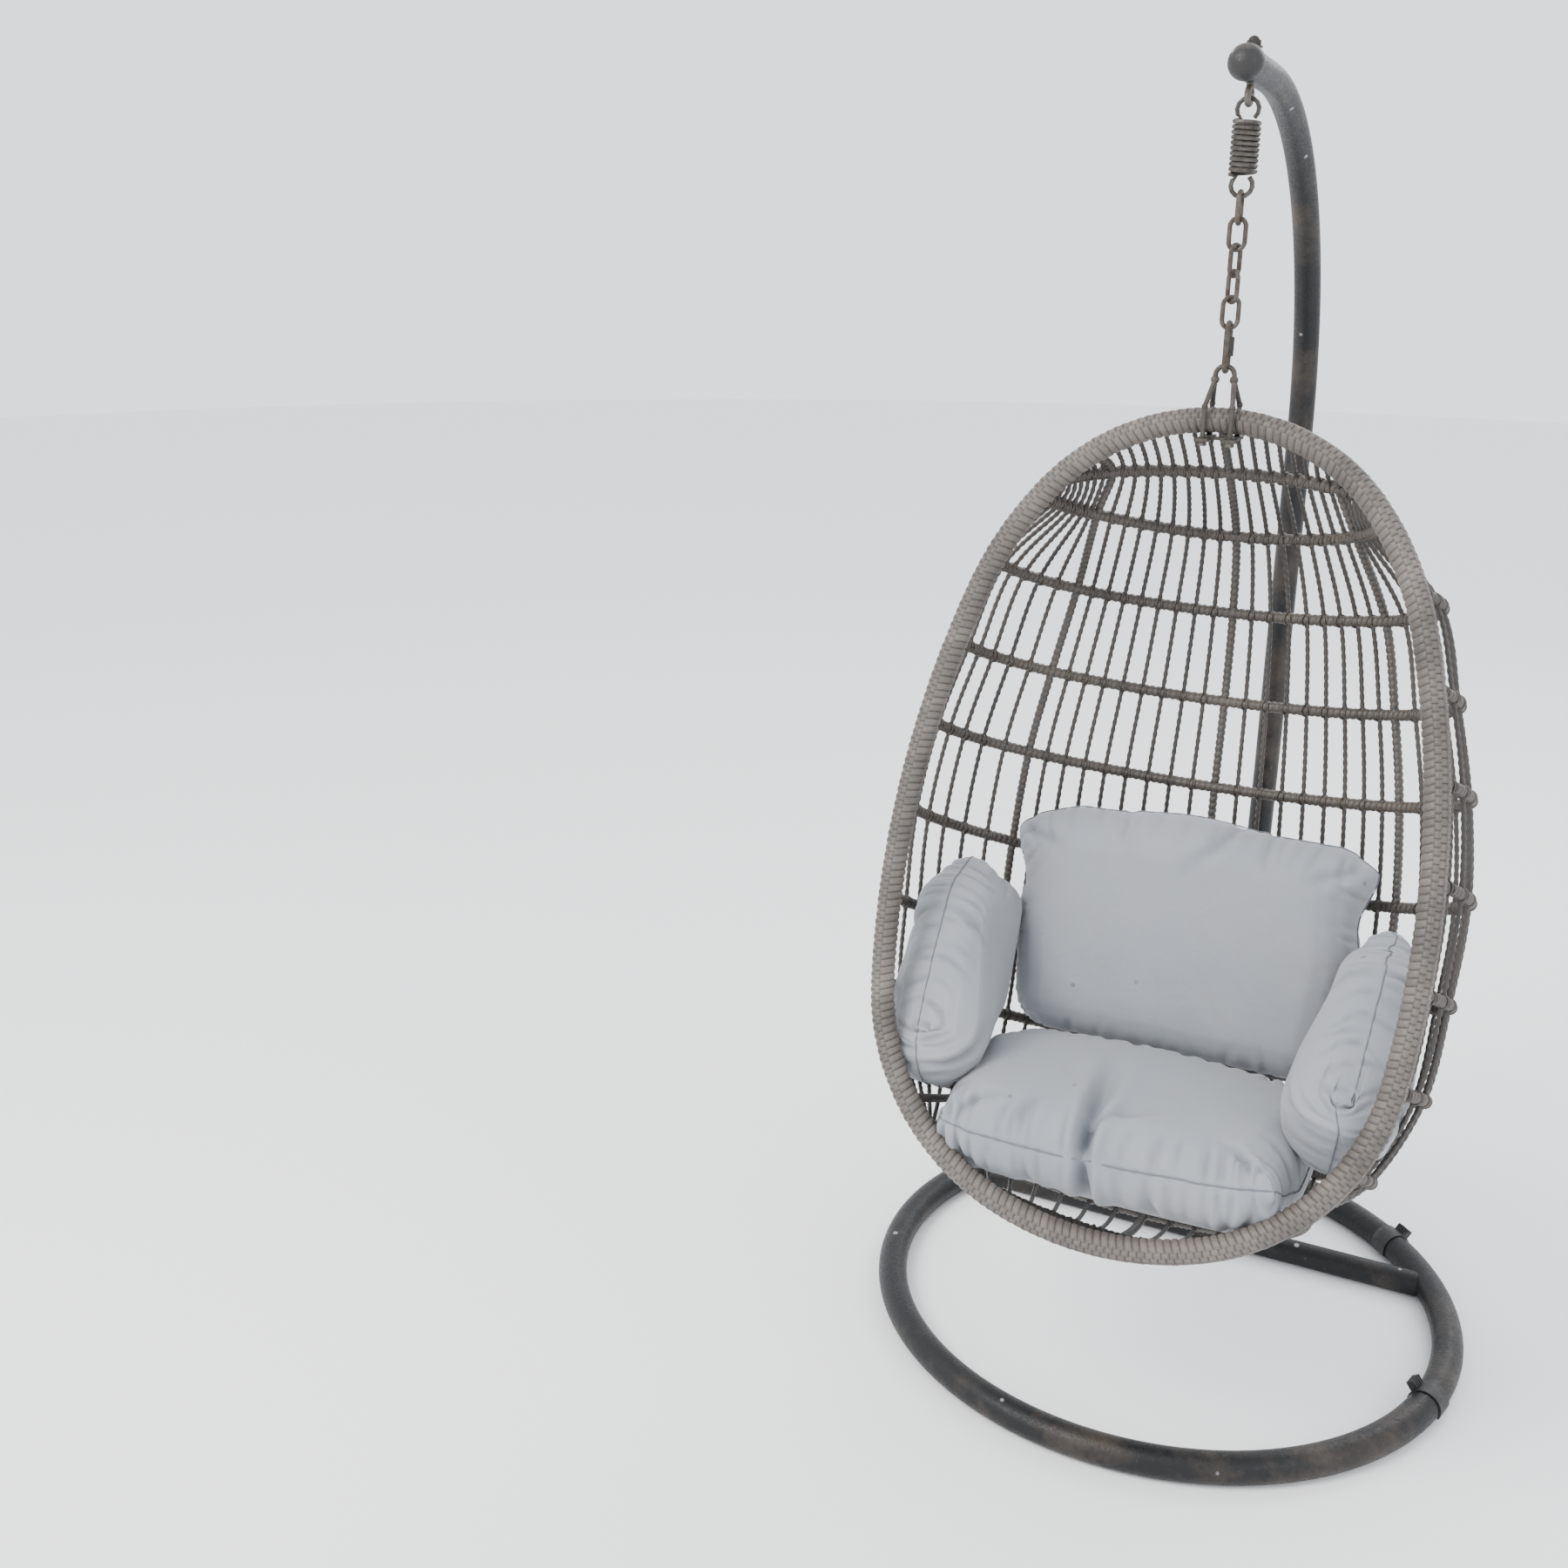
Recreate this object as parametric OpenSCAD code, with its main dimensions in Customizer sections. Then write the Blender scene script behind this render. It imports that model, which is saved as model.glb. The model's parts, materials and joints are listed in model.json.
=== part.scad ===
// Hanging egg chair: a bent-tube stand on a ring, a tension spring and chain, a woven basket and
// four loose cushions. Z is up, the post is on the +Y side, and the basket opens towards -Y.

/* [Stand] */
// Diameter of the base ring, on the centreline of its tube
ring_d = 910; // [860:10:1000]
// Outer diameter of the base ring's tube
ring_tube_d = 48; // [44:1:54]
// Outer diameter of the cross tube, rear foot, post and arm
post_d = 42; // [38:1:46]
// Wall thickness of the stand's tubes
tube_wall = 2; // [1.6:0.2:3]
// Distance of the cross tube behind the ring's centre
cross_y = 212; // [180:1:240]
// Lean of the lower post away from the upright
post_lean = 2.9; // [0:0.1:4]
// Height at which the post starts to bend forward
bend_start_z = 1395; // [1350:5:1420]
// Radius of the post's bend, on the centreline
bend_r = 560; // [540:5:580]
// Angle that the bend turns through, short of level
bend_turn = 86; // [84:1:90]

/* [Basket] */
// How far the top of the basket's mouth leans back from the upright
basket_tilt = 20; // [16:1:22]
// Height of the centreline of the rim's top above the floor
rim_top_z = 1495; // [1480:5:1510]
// Diameter of the wicker that covers the rim's tube
rim_wrap_d = 34; // [31:1:38]
// Diameter of the steel tube inside the rim
rim_tube_d = 22; // [19:1:25]
// Diameter of the wicker wound round each rung
rung_wrap_d = 16.5; // [14:0.5:19]
// Diameter of the steel rod inside each rung
rung_rod_d = 7; // [6:1:10]
// Diameter of the three upright ribs, with their wicker
rib_d = 13; // [11:1:16]
// Diameter of one thin upright strand
strand_d = 7.5; // [6:0.5:8]
// Number of strands between the middle rib and each side rib
inner_strands = 8; // [6:1:9]
// Number of strands between each side rib and the rim
outer_strands = 8; // [6:1:9]

/* [Suspension] */
// Mean diameter of the tension spring's coils
spring_d = 33.5; // [30:0.5:38]
// Wire diameter of the spring
spring_wire_d = 6.5; // [5.5:0.5:7]
// Number of turns in the spring
spring_turns = 10; // [8:1:11]
// Wire diameter of the chain
chain_wire_d = 6.5; // [6:0.5:7]
// Inside length of one chain link
link_inside = 35; // [34:0.5:36]
// Inside width of one chain link
link_width = 15; // [14:0.5:16]

/* [Hidden] */
$fn = 48;

steel_black = [0.10, 0.10, 0.11];
plastic_black = [0.05, 0.05, 0.05];
zinc = [0.55, 0.50, 0.44];
wicker = [0.42, 0.36, 0.31];
wicker_dark = [0.27, 0.24, 0.20];
cushion_grey = [0.72, 0.75, 0.79];

// Moves the whole chair so that the middle of its bounding box is on the Z axis.
middle_y = -2;
hang_y = -118;

// ---------------------------------------------------------------- swept tubes

function unit(v) = v / norm(v);
function across(n, t) = unit(n - (n * t) * t);
function tangents(p) =
    [for (i = [0 : len(p) - 1]) unit(p[min(i + 1, len(p) - 1)] - p[max(i - 1, 0)])];
function normals(t, first) =
    [for (i = 0, n = across(first, t[0]); i < len(t); i = i + 1, n = i < len(t) ? across(n, t[i]) : n) n];

// A tube of radius r along the points p, with the same number of sides all the way.
module tube_along(p, r, sides, first = [0.1, 0.2, 1]) {
    t = tangents(p);
    n = normals(t, first);
    last = len(p) - 1;
    points = [for (i = [0 : last]) for (k = [0 : sides - 1])
        p[i] + r * (cos(360 * k / sides) * n[i] + sin(360 * k / sides) * cross(t[i], n[i]))];
    walls = [for (i = [0 : last - 1]) for (k = [0 : sides - 1])
        let (a = i * sides + k, b = i * sides + (k + 1) % sides)
        each [[a, a + sides, b + sides], [a, b + sides, b]]];
    ends = [[for (k = [0 : sides - 1]) k], [for (k = [sides - 1 : -1 : 0]) last * sides + k]];
    polyhedron(points, concat(walls, ends));
}

// A ring segment of tube in the XY plane, from angle a0 to angle a1.
module bend(radius, a0, a1, d, wall) {
    rotate([0, 0, a0])
        rotate_extrude(angle = a1 - a0, $fn = 144)
            translate([radius, 0])
                ring_section(d, wall);
}

module ring_section(d, wall) {
    difference() {
        circle(d = d, $fn = 32);
        if (wall > 0 && 2 * wall < d) circle(d = d - 2 * wall, $fn = 32);
    }
}

// The same in the YZ plane, with angles from +Y towards +Z.
module bend_yz(cy, cz, radius, a0, a1, d, wall = 0) {
    translate([0, cy, cz])
        rotate([90, 0, 90])
            bend(radius, a0, a1, d, wall);
}

// The same in the XZ plane, with angles from +X towards +Z.
module bend_xz(cx, cz, radius, a0, a1, d, wall = 0) {
    translate([cx, 0, cz])
        rotate([90, 0, 0])
            bend(radius, a0, a1, d, wall);
}

module pipe(length, d, wall) {
    difference() {
        cylinder(d = d, h = length);
        translate([0, 0, -1]) cylinder(d = d - 2 * wall, h = length + 2);
    }
}

// ---------------------------------------------------------------- stand

ring_r = ring_d / 2;
floor_flat = 0.4;
ring_z = ring_tube_d / 2 - floor_flat;
front_joint = -14;
back_joint = 44;
elbow_r = 60;
foot_end_y = 478;
elbow_y = foot_end_y - elbow_r * cos(post_lean);
elbow_top_z = ring_z + elbow_r * (1 - sin(post_lean));
spigot = 60;
collar = 4;
post_joint_z = 800;
arm_straight = 145;
foot_start_y = cross_y + post_d / 2 - 6;
socket_d = post_d - 2 * tube_wall - 0.4;

// One length of the base ring. Its underside is flattened a little, where it stands on the floor.
module ring_arc(a0, a1) {
    color(steel_black)
        difference() {
            translate([0, 0, ring_z]) bend(ring_r, a0, a1, ring_tube_d, tube_wall);
            translate([-ring_d, -ring_d, -20]) cube([2 * ring_d, 2 * ring_d, 20]);
        }
}

module base_front_arc() { ring_arc(180 - front_joint, 360 + front_joint); }
module base_right_arc() { ring_arc(front_joint, back_joint); }
module base_back_arc() { ring_arc(back_joint, 180 - back_joint); }
module base_left_arc() { ring_arc(180 - back_joint, 180 - front_joint); }

module cross_tube() {
    half = sqrt(ring_r * ring_r - cross_y * cross_y) - 16;
    color(steel_black)
        translate([-half, cross_y, post_d / 2])
            rotate([0, 90, 0])
                pipe(2 * half, post_d, tube_wall);
}

// A thinner tube, on a disc let into the end of this one, that plugs into the next length of post.
module plug_in() {
    translate([0, 0, -collar]) {
        cylinder(d = post_d - tube_wall, h = collar);
        pipe(spigot + collar, socket_d, tube_wall);
    }
}

// The foot runs from the cross tube over the ring's back and turns up into a plug.
module rear_foot() {
    color(steel_black) {
        translate([0, foot_start_y, ring_z])
            rotate([-90, 0, 0])
                pipe(elbow_y - foot_start_y, post_d, tube_wall);
        bend_yz(elbow_y, ring_z + elbow_r, elbow_r, -90, -post_lean, post_d, tube_wall);
        translate([0, foot_end_y, elbow_top_z]) rotate([-post_lean, 0, 0]) plug_in();
    }
}

lower_length = (post_joint_z - elbow_top_z) / cos(post_lean);
post_y = foot_end_y + lower_length * sin(post_lean);

// The lower post leans back a little.
module lower_post() {
    color(steel_black)
        translate([0, foot_end_y, elbow_top_z])
            rotate([-post_lean, 0, 0])
                pipe(lower_length, post_d, tube_wall);
}

// The upper post stands upright, with a mitred foot that plugs down into the lower post.
module upper_post() {
    color(steel_black) {
        difference() {
            translate([0, post_y, post_joint_z - 10])
                pipe(bend_start_z - post_joint_z + 10, post_d, tube_wall);
            translate([0, post_y, post_joint_z])
                rotate([-post_lean, 0, 0])
                    translate([-post_d, -post_d, -2 * post_d]) cube(2 * post_d);
        }
        translate([0, post_y, post_joint_z])
            rotate([180 - post_lean, 0, 0])
                plug_in();
    }
}

bend_y = post_y - bend_r;
arm_start = [0, bend_y + bend_r * cos(bend_turn), bend_start_z + bend_r * sin(bend_turn)];
arm_dir = [0, -sin(bend_turn), cos(bend_turn)];
arm_tip = arm_start + arm_straight * arm_dir;
arm_z = arm_start[2] + (arm_start[1] - hang_y) / sin(bend_turn) * cos(bend_turn);
eye_shank_d = 10;

module arm_bend() {
    color(steel_black)
        bend_yz(bend_y, bend_start_z, bend_r, 0, bend_turn, post_d, tube_wall);
}

// The straight end of the arm is drilled right through for the eyebolt.
module arm_end() {
    color(steel_black)
        difference() {
            translate(arm_start) rotate([bend_turn, 0, 0]) pipe(arm_straight, post_d, tube_wall);
            translate([0, hang_y, arm_z - post_d]) cylinder(d = eye_shank_d + 0.6, h = 2 * post_d);
        }
}

// Snap-on clips over the ring's joints: a band that is open underneath, and a ribbed thumb tab.
module ring_clip(angle, tab_side) {
    band_d = ring_tube_d + 5;
    rotate([0, 0, angle])
        translate([ring_r, 0, ring_z]) {
            difference() {
                rotate([90, 0, 0])
                    translate([0, 0, -17])
                        pipe(34, band_d, 2.4);
                translate([-40, -40, -40]) cube([80, 80, 28]);
            }
            translate([tab_side * 17, -13, 14]) rotate([0, tab_side * 38, 0]) clip_tab();
        }
}

module clip_tab() {
    translate([-4, 0, 0]) cube([10, 26, 16]);
    for (rib = [0 : 4])
        translate([-5.5, 1 + 5 * rib, 4]) cube([13, 3, 13.5]);
}

module ring_clips() {
    color(plastic_black) {
        ring_clip(front_joint, -1);
        ring_clip(back_joint, 1);
        ring_clip(180 - back_joint, 1);
    }
}

brace_top = [0, 464, 268];
brace_foot = [0, 296, 44];
brace_d = 16;

// A thin rod props the lower post against the foot, with a flattened lug at its upper end.
module brace_rod() {
    run = brace_top - brace_foot;
    color(steel_black) {
        translate(brace_foot)
            rotate([-atan2(run[1], run[2]), 0, 0])
                cylinder(d = brace_d, h = norm(run));
        translate([-10, 457, 262]) cube([20, 8, 48]);
    }
}

// A round-headed screw whose head faces the front of the post.
module post_screw(z) {
    y = foot_end_y + (z - elbow_top_z) * tan(post_lean) - post_d / 2;
    translate([0, y, z])
        rotate([90, 0, 0]) {
            translate([0, 0, -12]) cylinder(d = 8, h = 14);
            intersection() {
                translate([0, 0, 1]) sphere(d = 16, $fn = 32);
                translate([0, 0, 1]) cylinder(d = 20, h = 12);
            }
        }
}

module post_screws() {
    color(zinc) {
        post_screw(142);
        translate([0, -8, 0]) post_screw(292);
    }
}

// A ball-ended plug closes the arm.
module arm_cap() {
    color(plastic_black)
        translate(arm_tip)
            rotate([bend_turn, 0, 0]) {
                translate([0, 0, -20]) cylinder(d = post_d - 2 * tube_wall - 0.2, h = 21);
                translate([0, 0, 3]) sphere(d = post_d + 6, $fn = 48);
            }
}

// ---------------------------------------------------------------- suspension

eye_r = 10.5;
eye_wire_d = 9;
eye_z = arm_z - post_d / 2 - eye_r - eye_wire_d / 2 - 1;
arm_top_z = arm_z + post_d / 2 + 1.4;
washer_h = 2.5;
nut_h = 7;

module eyebolt() {
    color(zinc)
        translate([0, hang_y, 0]) {
            bend_yz(0, eye_z, eye_r, 0, 360, eye_wire_d);
            translate([0, 0, eye_z + eye_r])
                cylinder(d = eye_shank_d, h = arm_top_z + washer_h + nut_h - eye_z - eye_r);
        }
}

module eyebolt_washers() {
    color(zinc)
        translate([0, hang_y, arm_top_z])
            difference() {
                cylinder(d = 24, h = washer_h);
                translate([0, 0, -1]) cylinder(d = eye_shank_d + 0.4, h = washer_h + 2);
            }
}

// A domed nut that covers the eyebolt's end.
module eyebolt_nut() {
    dome_z = arm_top_z + washer_h + nut_h;
    color(zinc)
        translate([0, hang_y, 0])
            difference() {
                union() {
                    translate([0, 0, arm_top_z + washer_h]) cylinder(d = 19, h = nut_h, $fn = 6);
                    intersection() {
                        translate([0, 0, dome_z - 2]) sphere(d = 16, $fn = 32);
                        translate([0, 0, dome_z]) cylinder(d = 20, h = 20);
                    }
                }
                translate([0, 0, arm_top_z]) cylinder(d = eye_shank_d + 0.1, h = washer_h + nut_h + 0.2);
            }
}

play = 0.3;
hook_r = 14.5;
hook_top_z = eye_z - eye_r + eye_wire_d / 2 + spring_wire_d / 2 + play;
hook_centre_z = hook_top_z - hook_r;
coil_top_z = hook_centre_z - hook_r - spring_wire_d / 2 + 3;
coil_pitch = spring_wire_d + 0.3;
coil_bottom_z = coil_top_z - spring_turns * coil_pitch;
low_hook_centre_z = coil_bottom_z - hook_r - spring_wire_d / 2 + 3;
low_hook_z = low_hook_centre_z - hook_r;

// The wire's route: a hook at the top, the coils, and a hook at the bottom.
hook_steps = 10;
turn_steps = 12;
function hook_route(centre_z, from, to) = [for (i = [0 : hook_steps])
    let (a = from + (to - from) * i / hook_steps)
    [hook_r * cos(a), 0, centre_z + hook_r * sin(a)]];
coil_route = [for (i = [0 : spring_turns * turn_steps])
    let (a = 180 + 360 * i / turn_steps)
    [spring_d / 2 * cos(a), spring_d / 2 * sin(a), coil_top_z - coil_pitch * i / turn_steps]];
spring_route = concat(hook_route(hook_centre_z, -50, 235), coil_route,
    hook_route(low_hook_centre_z, 125, 410));

module spring() {
    color(zinc)
        translate([0, hang_y, 0])
            tube_along(spring_route, spring_wire_d / 2, 6, [0, 1, 0.1]);
}

// A chain link with straight sides and round ends, its middle at height z.
module chain_link(z, turn) {
    crown_r = (link_width + chain_wire_d) / 2;
    side = link_inside + chain_wire_d - 2 * crown_r;
    color(zinc)
        translate([0, hang_y, z])
            rotate([0, 0, turn]) {
                bend_xz(0, side / 2, crown_r, 0, 180, chain_wire_d);
                bend_xz(0, -side / 2, crown_r, 180, 360, chain_wire_d);
                for (s = [-1, 1])
                    translate([s * crown_r, 0, -side / 2]) cylinder(d = chain_wire_d, h = side, $fn = 32);
            }
}

link_reach = (link_inside + chain_wire_d) / 2;
link_step = link_inside - play;
first_link_z = low_hook_z + spring_wire_d / 2 + play + chain_wire_d / 2 - link_reach;
function link_z(i) = first_link_z - (i - 1) * link_step;

// The chain hangs with its lower links twisted, each by less than a right angle from the one above.
link_twist = 68;

module chain_link_1() { chain_link(link_z(1), 90); }
module chain_link_2() { chain_link(link_z(2), 0); }
module chain_link_3() { chain_link(link_z(3), link_twist); }
module chain_link_4() { chain_link(link_z(4), 2 * link_twist); }
module chain_link_5() { chain_link(link_z(5), 3 * link_twist); }

quick_wire_d = 7;
quick_r = 11;
quick_side = 44;
quick_top_z = link_z(5) - link_reach + chain_wire_d / 2 + quick_wire_d / 2 + play;
quick_bottom_z = quick_top_z - quick_side - 2 * quick_r;
quick_gap = 14;

// A long link whose gap, on the post side, is closed by a screwed sleeve.
module quick_link() {
    crown_z = quick_top_z - quick_r;
    foot_z = quick_bottom_z + quick_r;
    color(zinc)
        translate([0, hang_y, 0]) {
            bend_yz(0, crown_z, quick_r, 0, 180, quick_wire_d);
            bend_yz(0, foot_z, quick_r, 180, 360, quick_wire_d);
            translate([0, -quick_r, foot_z]) cylinder(d = quick_wire_d, h = quick_side, $fn = 32);
            translate([0, quick_r, foot_z])
                cylinder(d = quick_wire_d, h = (quick_side - quick_gap) / 2, $fn = 32);
            translate([0, quick_r, crown_z - (quick_side - quick_gap) / 2])
                cylinder(d = quick_wire_d, h = (quick_side - quick_gap) / 2, $fn = 32);
        }
}

module quick_link_nut() {
    h = quick_gap + 12;
    color(steel_black)
        translate([0, hang_y + quick_r, (quick_top_z + quick_bottom_z) / 2 - h / 2])
            difference() {
                cylinder(d = 13, h = h, $fn = 6);
                translate([0, 0, -1]) cylinder(d = quick_wire_d + 0.1, h = h + 2, $fn = 32);
            }
}

bail_wire_d = 7;
bail_top_z = quick_bottom_z + quick_wire_d / 2 + bail_wire_d / 2 + play;
bail_r = 13;
bail_spring_z = bail_top_z - bail_r;
bail_fork_z = bail_spring_z - 6;
fork_ball_d = 12;
bail_foot = [19, rim_wrap_d / 2 + 6, rim_top_z - rim_wrap_d / 2 - 16];
bail_shoulder_z = rim_top_z + rim_wrap_d / 2 + 4;

module rod_between(a, b, d) {
    run = b - a;
    translate(a)
        rotate([0, acos(run[2] / norm(run)), atan2(run[1], run[0])])
            cylinder(d = d, h = norm(run), $fn = 32);
}

module ball(at, d) { translate(at) sphere(d = d, $fn = 32); }

// A round-topped rod under the quick link spreads into two legs before the rim and two behind it.
module hanger_bail() {
    color(steel_black)
        translate([0, hang_y, 0]) {
            bend_xz(0, bail_spring_z, bail_r, 0, 180, bail_wire_d);
            for (sx = [-1, 1]) {
                fork = [sx * bail_r, 0, bail_fork_z];
                translate(fork) cylinder(d = bail_wire_d, h = bail_spring_z - bail_fork_z, $fn = 32);
                ball(fork, fork_ball_d);
                for (sy = [-1, 1]) {
                    foot = [sx * bail_foot[0], sy * bail_foot[1], bail_foot[2]];
                    shoulder = [foot[0], foot[1], bail_shoulder_z];
                    rod_between(fork, shoulder, bail_wire_d);
                    ball(shoulder, bail_wire_d + 2);
                    rod_between(foot, shoulder, bail_wire_d);
                }
            }
        }
}

plate_h = 4;

// Two saddle plates under the rim tie each front leg to the leg behind it.
module hanger_plates() {
    color(steel_black)
        translate([0, hang_y, bail_foot[2] + 6])
            difference() {
                union() {
                    for (sx = [-1, 1])
                        translate([sx * bail_foot[0] - 8, -bail_foot[1] - 8, 0])
                            cube([16, 2 * bail_foot[1] + 16, plate_h]);
                    translate([-bail_foot[0], -5, 0]) cube([2 * bail_foot[0], 10, plate_h]);
                }
                for (sx = [-1, 1])
                    for (sy = [-1, 1])
                        translate([sx * bail_foot[0], sy * bail_foot[1], -1])
                            cylinder(d = bail_wire_d + 0.1, h = plate_h + 2, $fn = 32);
            }
}

module hanger_bolts() {
    color(zinc)
        for (sx = [-1, 1])
            for (sy = [-1, 1])
                translate([sx * bail_foot[0], hang_y + sy * bail_foot[1], bail_foot[2] - 0.5])
                    difference() {
                        cylinder(d = 13, h = 6.4, $fn = 6);
                        translate([0, 0, -1]) cylinder(d = bail_wire_d + 0.1, h = 9, $fn = 32);
                    }
}

// ---------------------------------------------------------------- basket

// The basket's own frame has its origin at the rim's top: X across, Y into the basket at right
// angles to the mouth, and Z up along the mouth.
module in_basket() {
    translate([0, hang_y, rim_top_z])
        rotate([-basket_tilt, 0, 0])
            children();
}

// Half of the egg-shaped rim, as [radius, turn] for each arc from the top to the bottom. The last
// arc's radius follows, because the rim has to close on the middle line.
rim_arcs = [[290, 52], [480, 21.5], [1470, 23.5], [330, 64], [0, 19]];
function heading(i) = i == 0 ? 0 : heading(i - 1) + rim_arcs[i - 1][1];
function arc_radius(i) = i < len(rim_arcs) - 1 ? rim_arcs[i][0] : arc_start(i)[0] / sin(heading(i));
function arc_start(i) = i == 0 ? [0, 0] : arc_centre(i - 1)
    + arc_radius(i - 1) * [sin(heading(i)), cos(heading(i))];
function arc_centre(i) = arc_start(i) - arc_radius(i) * [sin(heading(i)), cos(heading(i))];
centres = [for (i = [0 : 4]) arc_centre(i)];
radii = [for (i = [0 : 4]) arc_radius(i)];
starts = [for (i = [0 : 4]) arc_start(i)];
rim_height = radii[4] - centres[4][1];

// Half width of the mouth at a given drop below the rim's top, and the reverse near top and bottom.
function arc_at(drop) = max([for (i = [0 : 4]) -starts[i][1] <= drop ? i : 0]);
function half_width(drop) = let (i = arc_at(drop))
    centres[i][0] + sqrt(max(0, pow(radii[i], 2) - pow(drop + centres[i][1], 2)));
function top_drop(u) = radii[0] - sqrt(pow(radii[0], 2) - u * u);
function bottom_drop(u) = -centres[4][1] + sqrt(pow(radii[4], 2) - u * u);

// Each rung: drop of its ends on the rim, drop and depth of its middle, the angle of its curve
// from the middle to each end, and the angle at which the side rib crosses it.
rungs = [[105, 50, 112, 88, 48], [130, 121, 234, 75, 50], [211, 229, 302, 117, 47],
    [337, 363, 348, 115.5, 47], [458, 498, 380, 117, 47], [590, 650, 425, 117.5, 47],
    [736, 795, 455, 115.5, 48], [868, 935, 472, 115, 50], [987, 1074, 455, 112, 59],
    [1048, 1182, 371, 96, 80], [1100, 1195, 211, 88, 88]];
rung_count = len(rungs);

// A point on a rung. A rung that turns more than 90 degrees bulges wider than the rim.
function rung_point(j, angle) = let (
        r = rungs[j],
        end_u = half_width(r[0]) - 6,
        depth = (cos(angle) - cos(r[3])) / (1 - cos(r[3])))
    [end_u * sin(angle) / sin(r[3]), r[2] * depth, -r[0] + (r[0] - r[1]) * depth];
function rung_route(j, from, to, steps) =
    [for (i = [0 : steps]) rung_point(j, from + (to - from) * i / steps)];

// The rim's route, as [x, z, outward x, outward z], down the right side and up the left.
rim_steps = [6, 3, 4, 8, 3];
function rim_at(i, t, side) = let (a = 90 - heading(i) - rim_arcs[i][1] * t)
    [side * (centres[i][0] + radii[i] * cos(a)), centres[i][1] + radii[i] * sin(a), side * cos(a), sin(a)];
rim_route = concat(
    [for (i = [0 : 4]) for (k = [0 : rim_steps[i] - 1]) rim_at(i, k / rim_steps[i], 1)],
    [for (i = [4 : -1 : 0]) for (k = [rim_steps[i] : -1 : 1]) rim_at(i, k / rim_steps[i], -1)]);

// A closed loop round the rim. Each corner of its section is [outward, backward] from the route.
module rim_loop(section) {
    m = len(section);
    n = len(rim_route);
    points = [for (p = rim_route) for (q = section) [p[0] + q[0] * p[2], q[1], p[1] + q[0] * p[3]]];
    walls = [for (i = [0 : n - 1]) for (k = [0 : m - 1])
        let (a = i * m + k, b = i * m + (k + 1) % m, c = (i + 1) % n * m + k, d = (i + 1) % n * m + (k + 1) % m)
        each [[a, b, d], [a, d, c]]];
    polyhedron(points, walls);
}

function round_section(r, sides) = [for (k = [0 : sides - 1]) r * [cos(360 * k / sides), sin(360 * k / sides)]];

module rim_tube() {
    color(steel_black)
        in_basket()
            difference() {
                rim_loop(round_section(rim_tube_d / 2, 8));
                rim_loop(round_section(rim_tube_d / 2 - rim_wall, 8));
            }
}

// The wicker is a sleeve, just clear of the tube inside it.
module rim_wrap() {
    color(wicker)
        in_basket()
            difference() {
                rim_loop(round_section(rim_wrap_d / 2, 12));
                rim_loop(round_section(rim_tube_d / 2 + 0.5, 12));
            }
}

rim_wall = 1.5;
braid_half = 10;
braid_in = rim_wrap_d / 2 - 3;
braid_out = rim_wrap_d / 2 + 2;

// The plaited strip that covers the rim's outer side.
module rim_braid() {
    color(wicker)
        in_basket()
            rim_loop([[braid_out, -braid_half], [braid_out, braid_half], [braid_in, braid_half],
                [braid_in, -braid_half]]);
}

middle_rib_route = concat([[0, 0, 0]], [for (j = [0 : rung_count - 1]) rung_point(j, 0)],
    [[0, 0, -rim_height]]);
rib_top_u = 172;
rib_foot_drop = 1030;
side_rib_route = concat([[rib_top_u, 0, -top_drop(rib_top_u)]],
    [for (j = [0 : 8]) rung_point(j, rungs[j][4])],
    [[half_width(rib_foot_drop), 0, -rib_foot_drop]]);

module middle_rib() { color(wicker) in_basket() tube_along(middle_rib_route, rib_d / 2, 8, [1, 0, 0]); }
module right_rib() { color(wicker) in_basket() tube_along(side_rib_route, rib_d / 2, 8, [1, 0, 0]); }
module left_rib() {
    color(wicker) in_basket() mirror([1, 0, 0]) tube_along(side_rib_route, rib_d / 2, 8, [1, 0, 0]);
}

// Turns a six-sided section so that it has a flat on top.
flat_top = [0, 0.5, 0.866];

module rung(j) {
    color(steel_black)
        in_basket()
            tube_along(rung_route(j, -rungs[j][3], rungs[j][3], 12), rung_rod_d / 2, 6, flat_top);
}

module rung_1() { rung(0); }
module rung_2() { rung(1); }
module rung_3() { rung(2); }
module rung_4() { rung(3); }
module rung_5() { rung(4); }
module rung_6() { rung(5); }
module rung_7() { rung(6); }
module rung_8() { rung(7); }
module rung_9() { rung(8); }
module rung_10() { rung(9); }
module rung_11() { rung(10); }

// A strand starts on the rim, is tied to every rung, and ends on the rim again.
function inner_strand_route(k) = let (
        part = k / (inner_strands + 1),
        top = rung_point(0, rungs[0][4] * part),
        low = rung_point(rung_count - 1, rungs[rung_count - 1][4] * part))
    concat([[top[0], 0, -top_drop(top[0])]],
        [for (j = [0 : rung_count - 1]) rung_point(j, rungs[j][4] * part)],
        [[low[0], 0, -bottom_drop(low[0])]]);
function outer_strand_route(k) = let (
        part = k / (outer_strands + 1),
        top = rung_point(0, rungs[0][4] + (rungs[0][3] - rungs[0][4]) * part))
    concat([[top[0], 0, -top_drop(top[0])]],
        [for (j = [0 : rung_count - 2]) rung_point(j, rungs[j][4] + (rungs[j][3] - rungs[j][4]) * part)]);

// The wicker wound round one stretch of a rung.
module wound_length(j, from, to) {
    tube_along(rung_route(j, from, to, 3), rung_wrap_d / 2, 6, flat_top);
}

module inner_weave() {
    for (k = [1 : inner_strands])
        tube_along(inner_strand_route(k), strand_d / 2, 4, [1, 0, 0]);
    for (j = [0 : rung_count - 1])
        wound_length(j, 0, rungs[j][4]);
}

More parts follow.
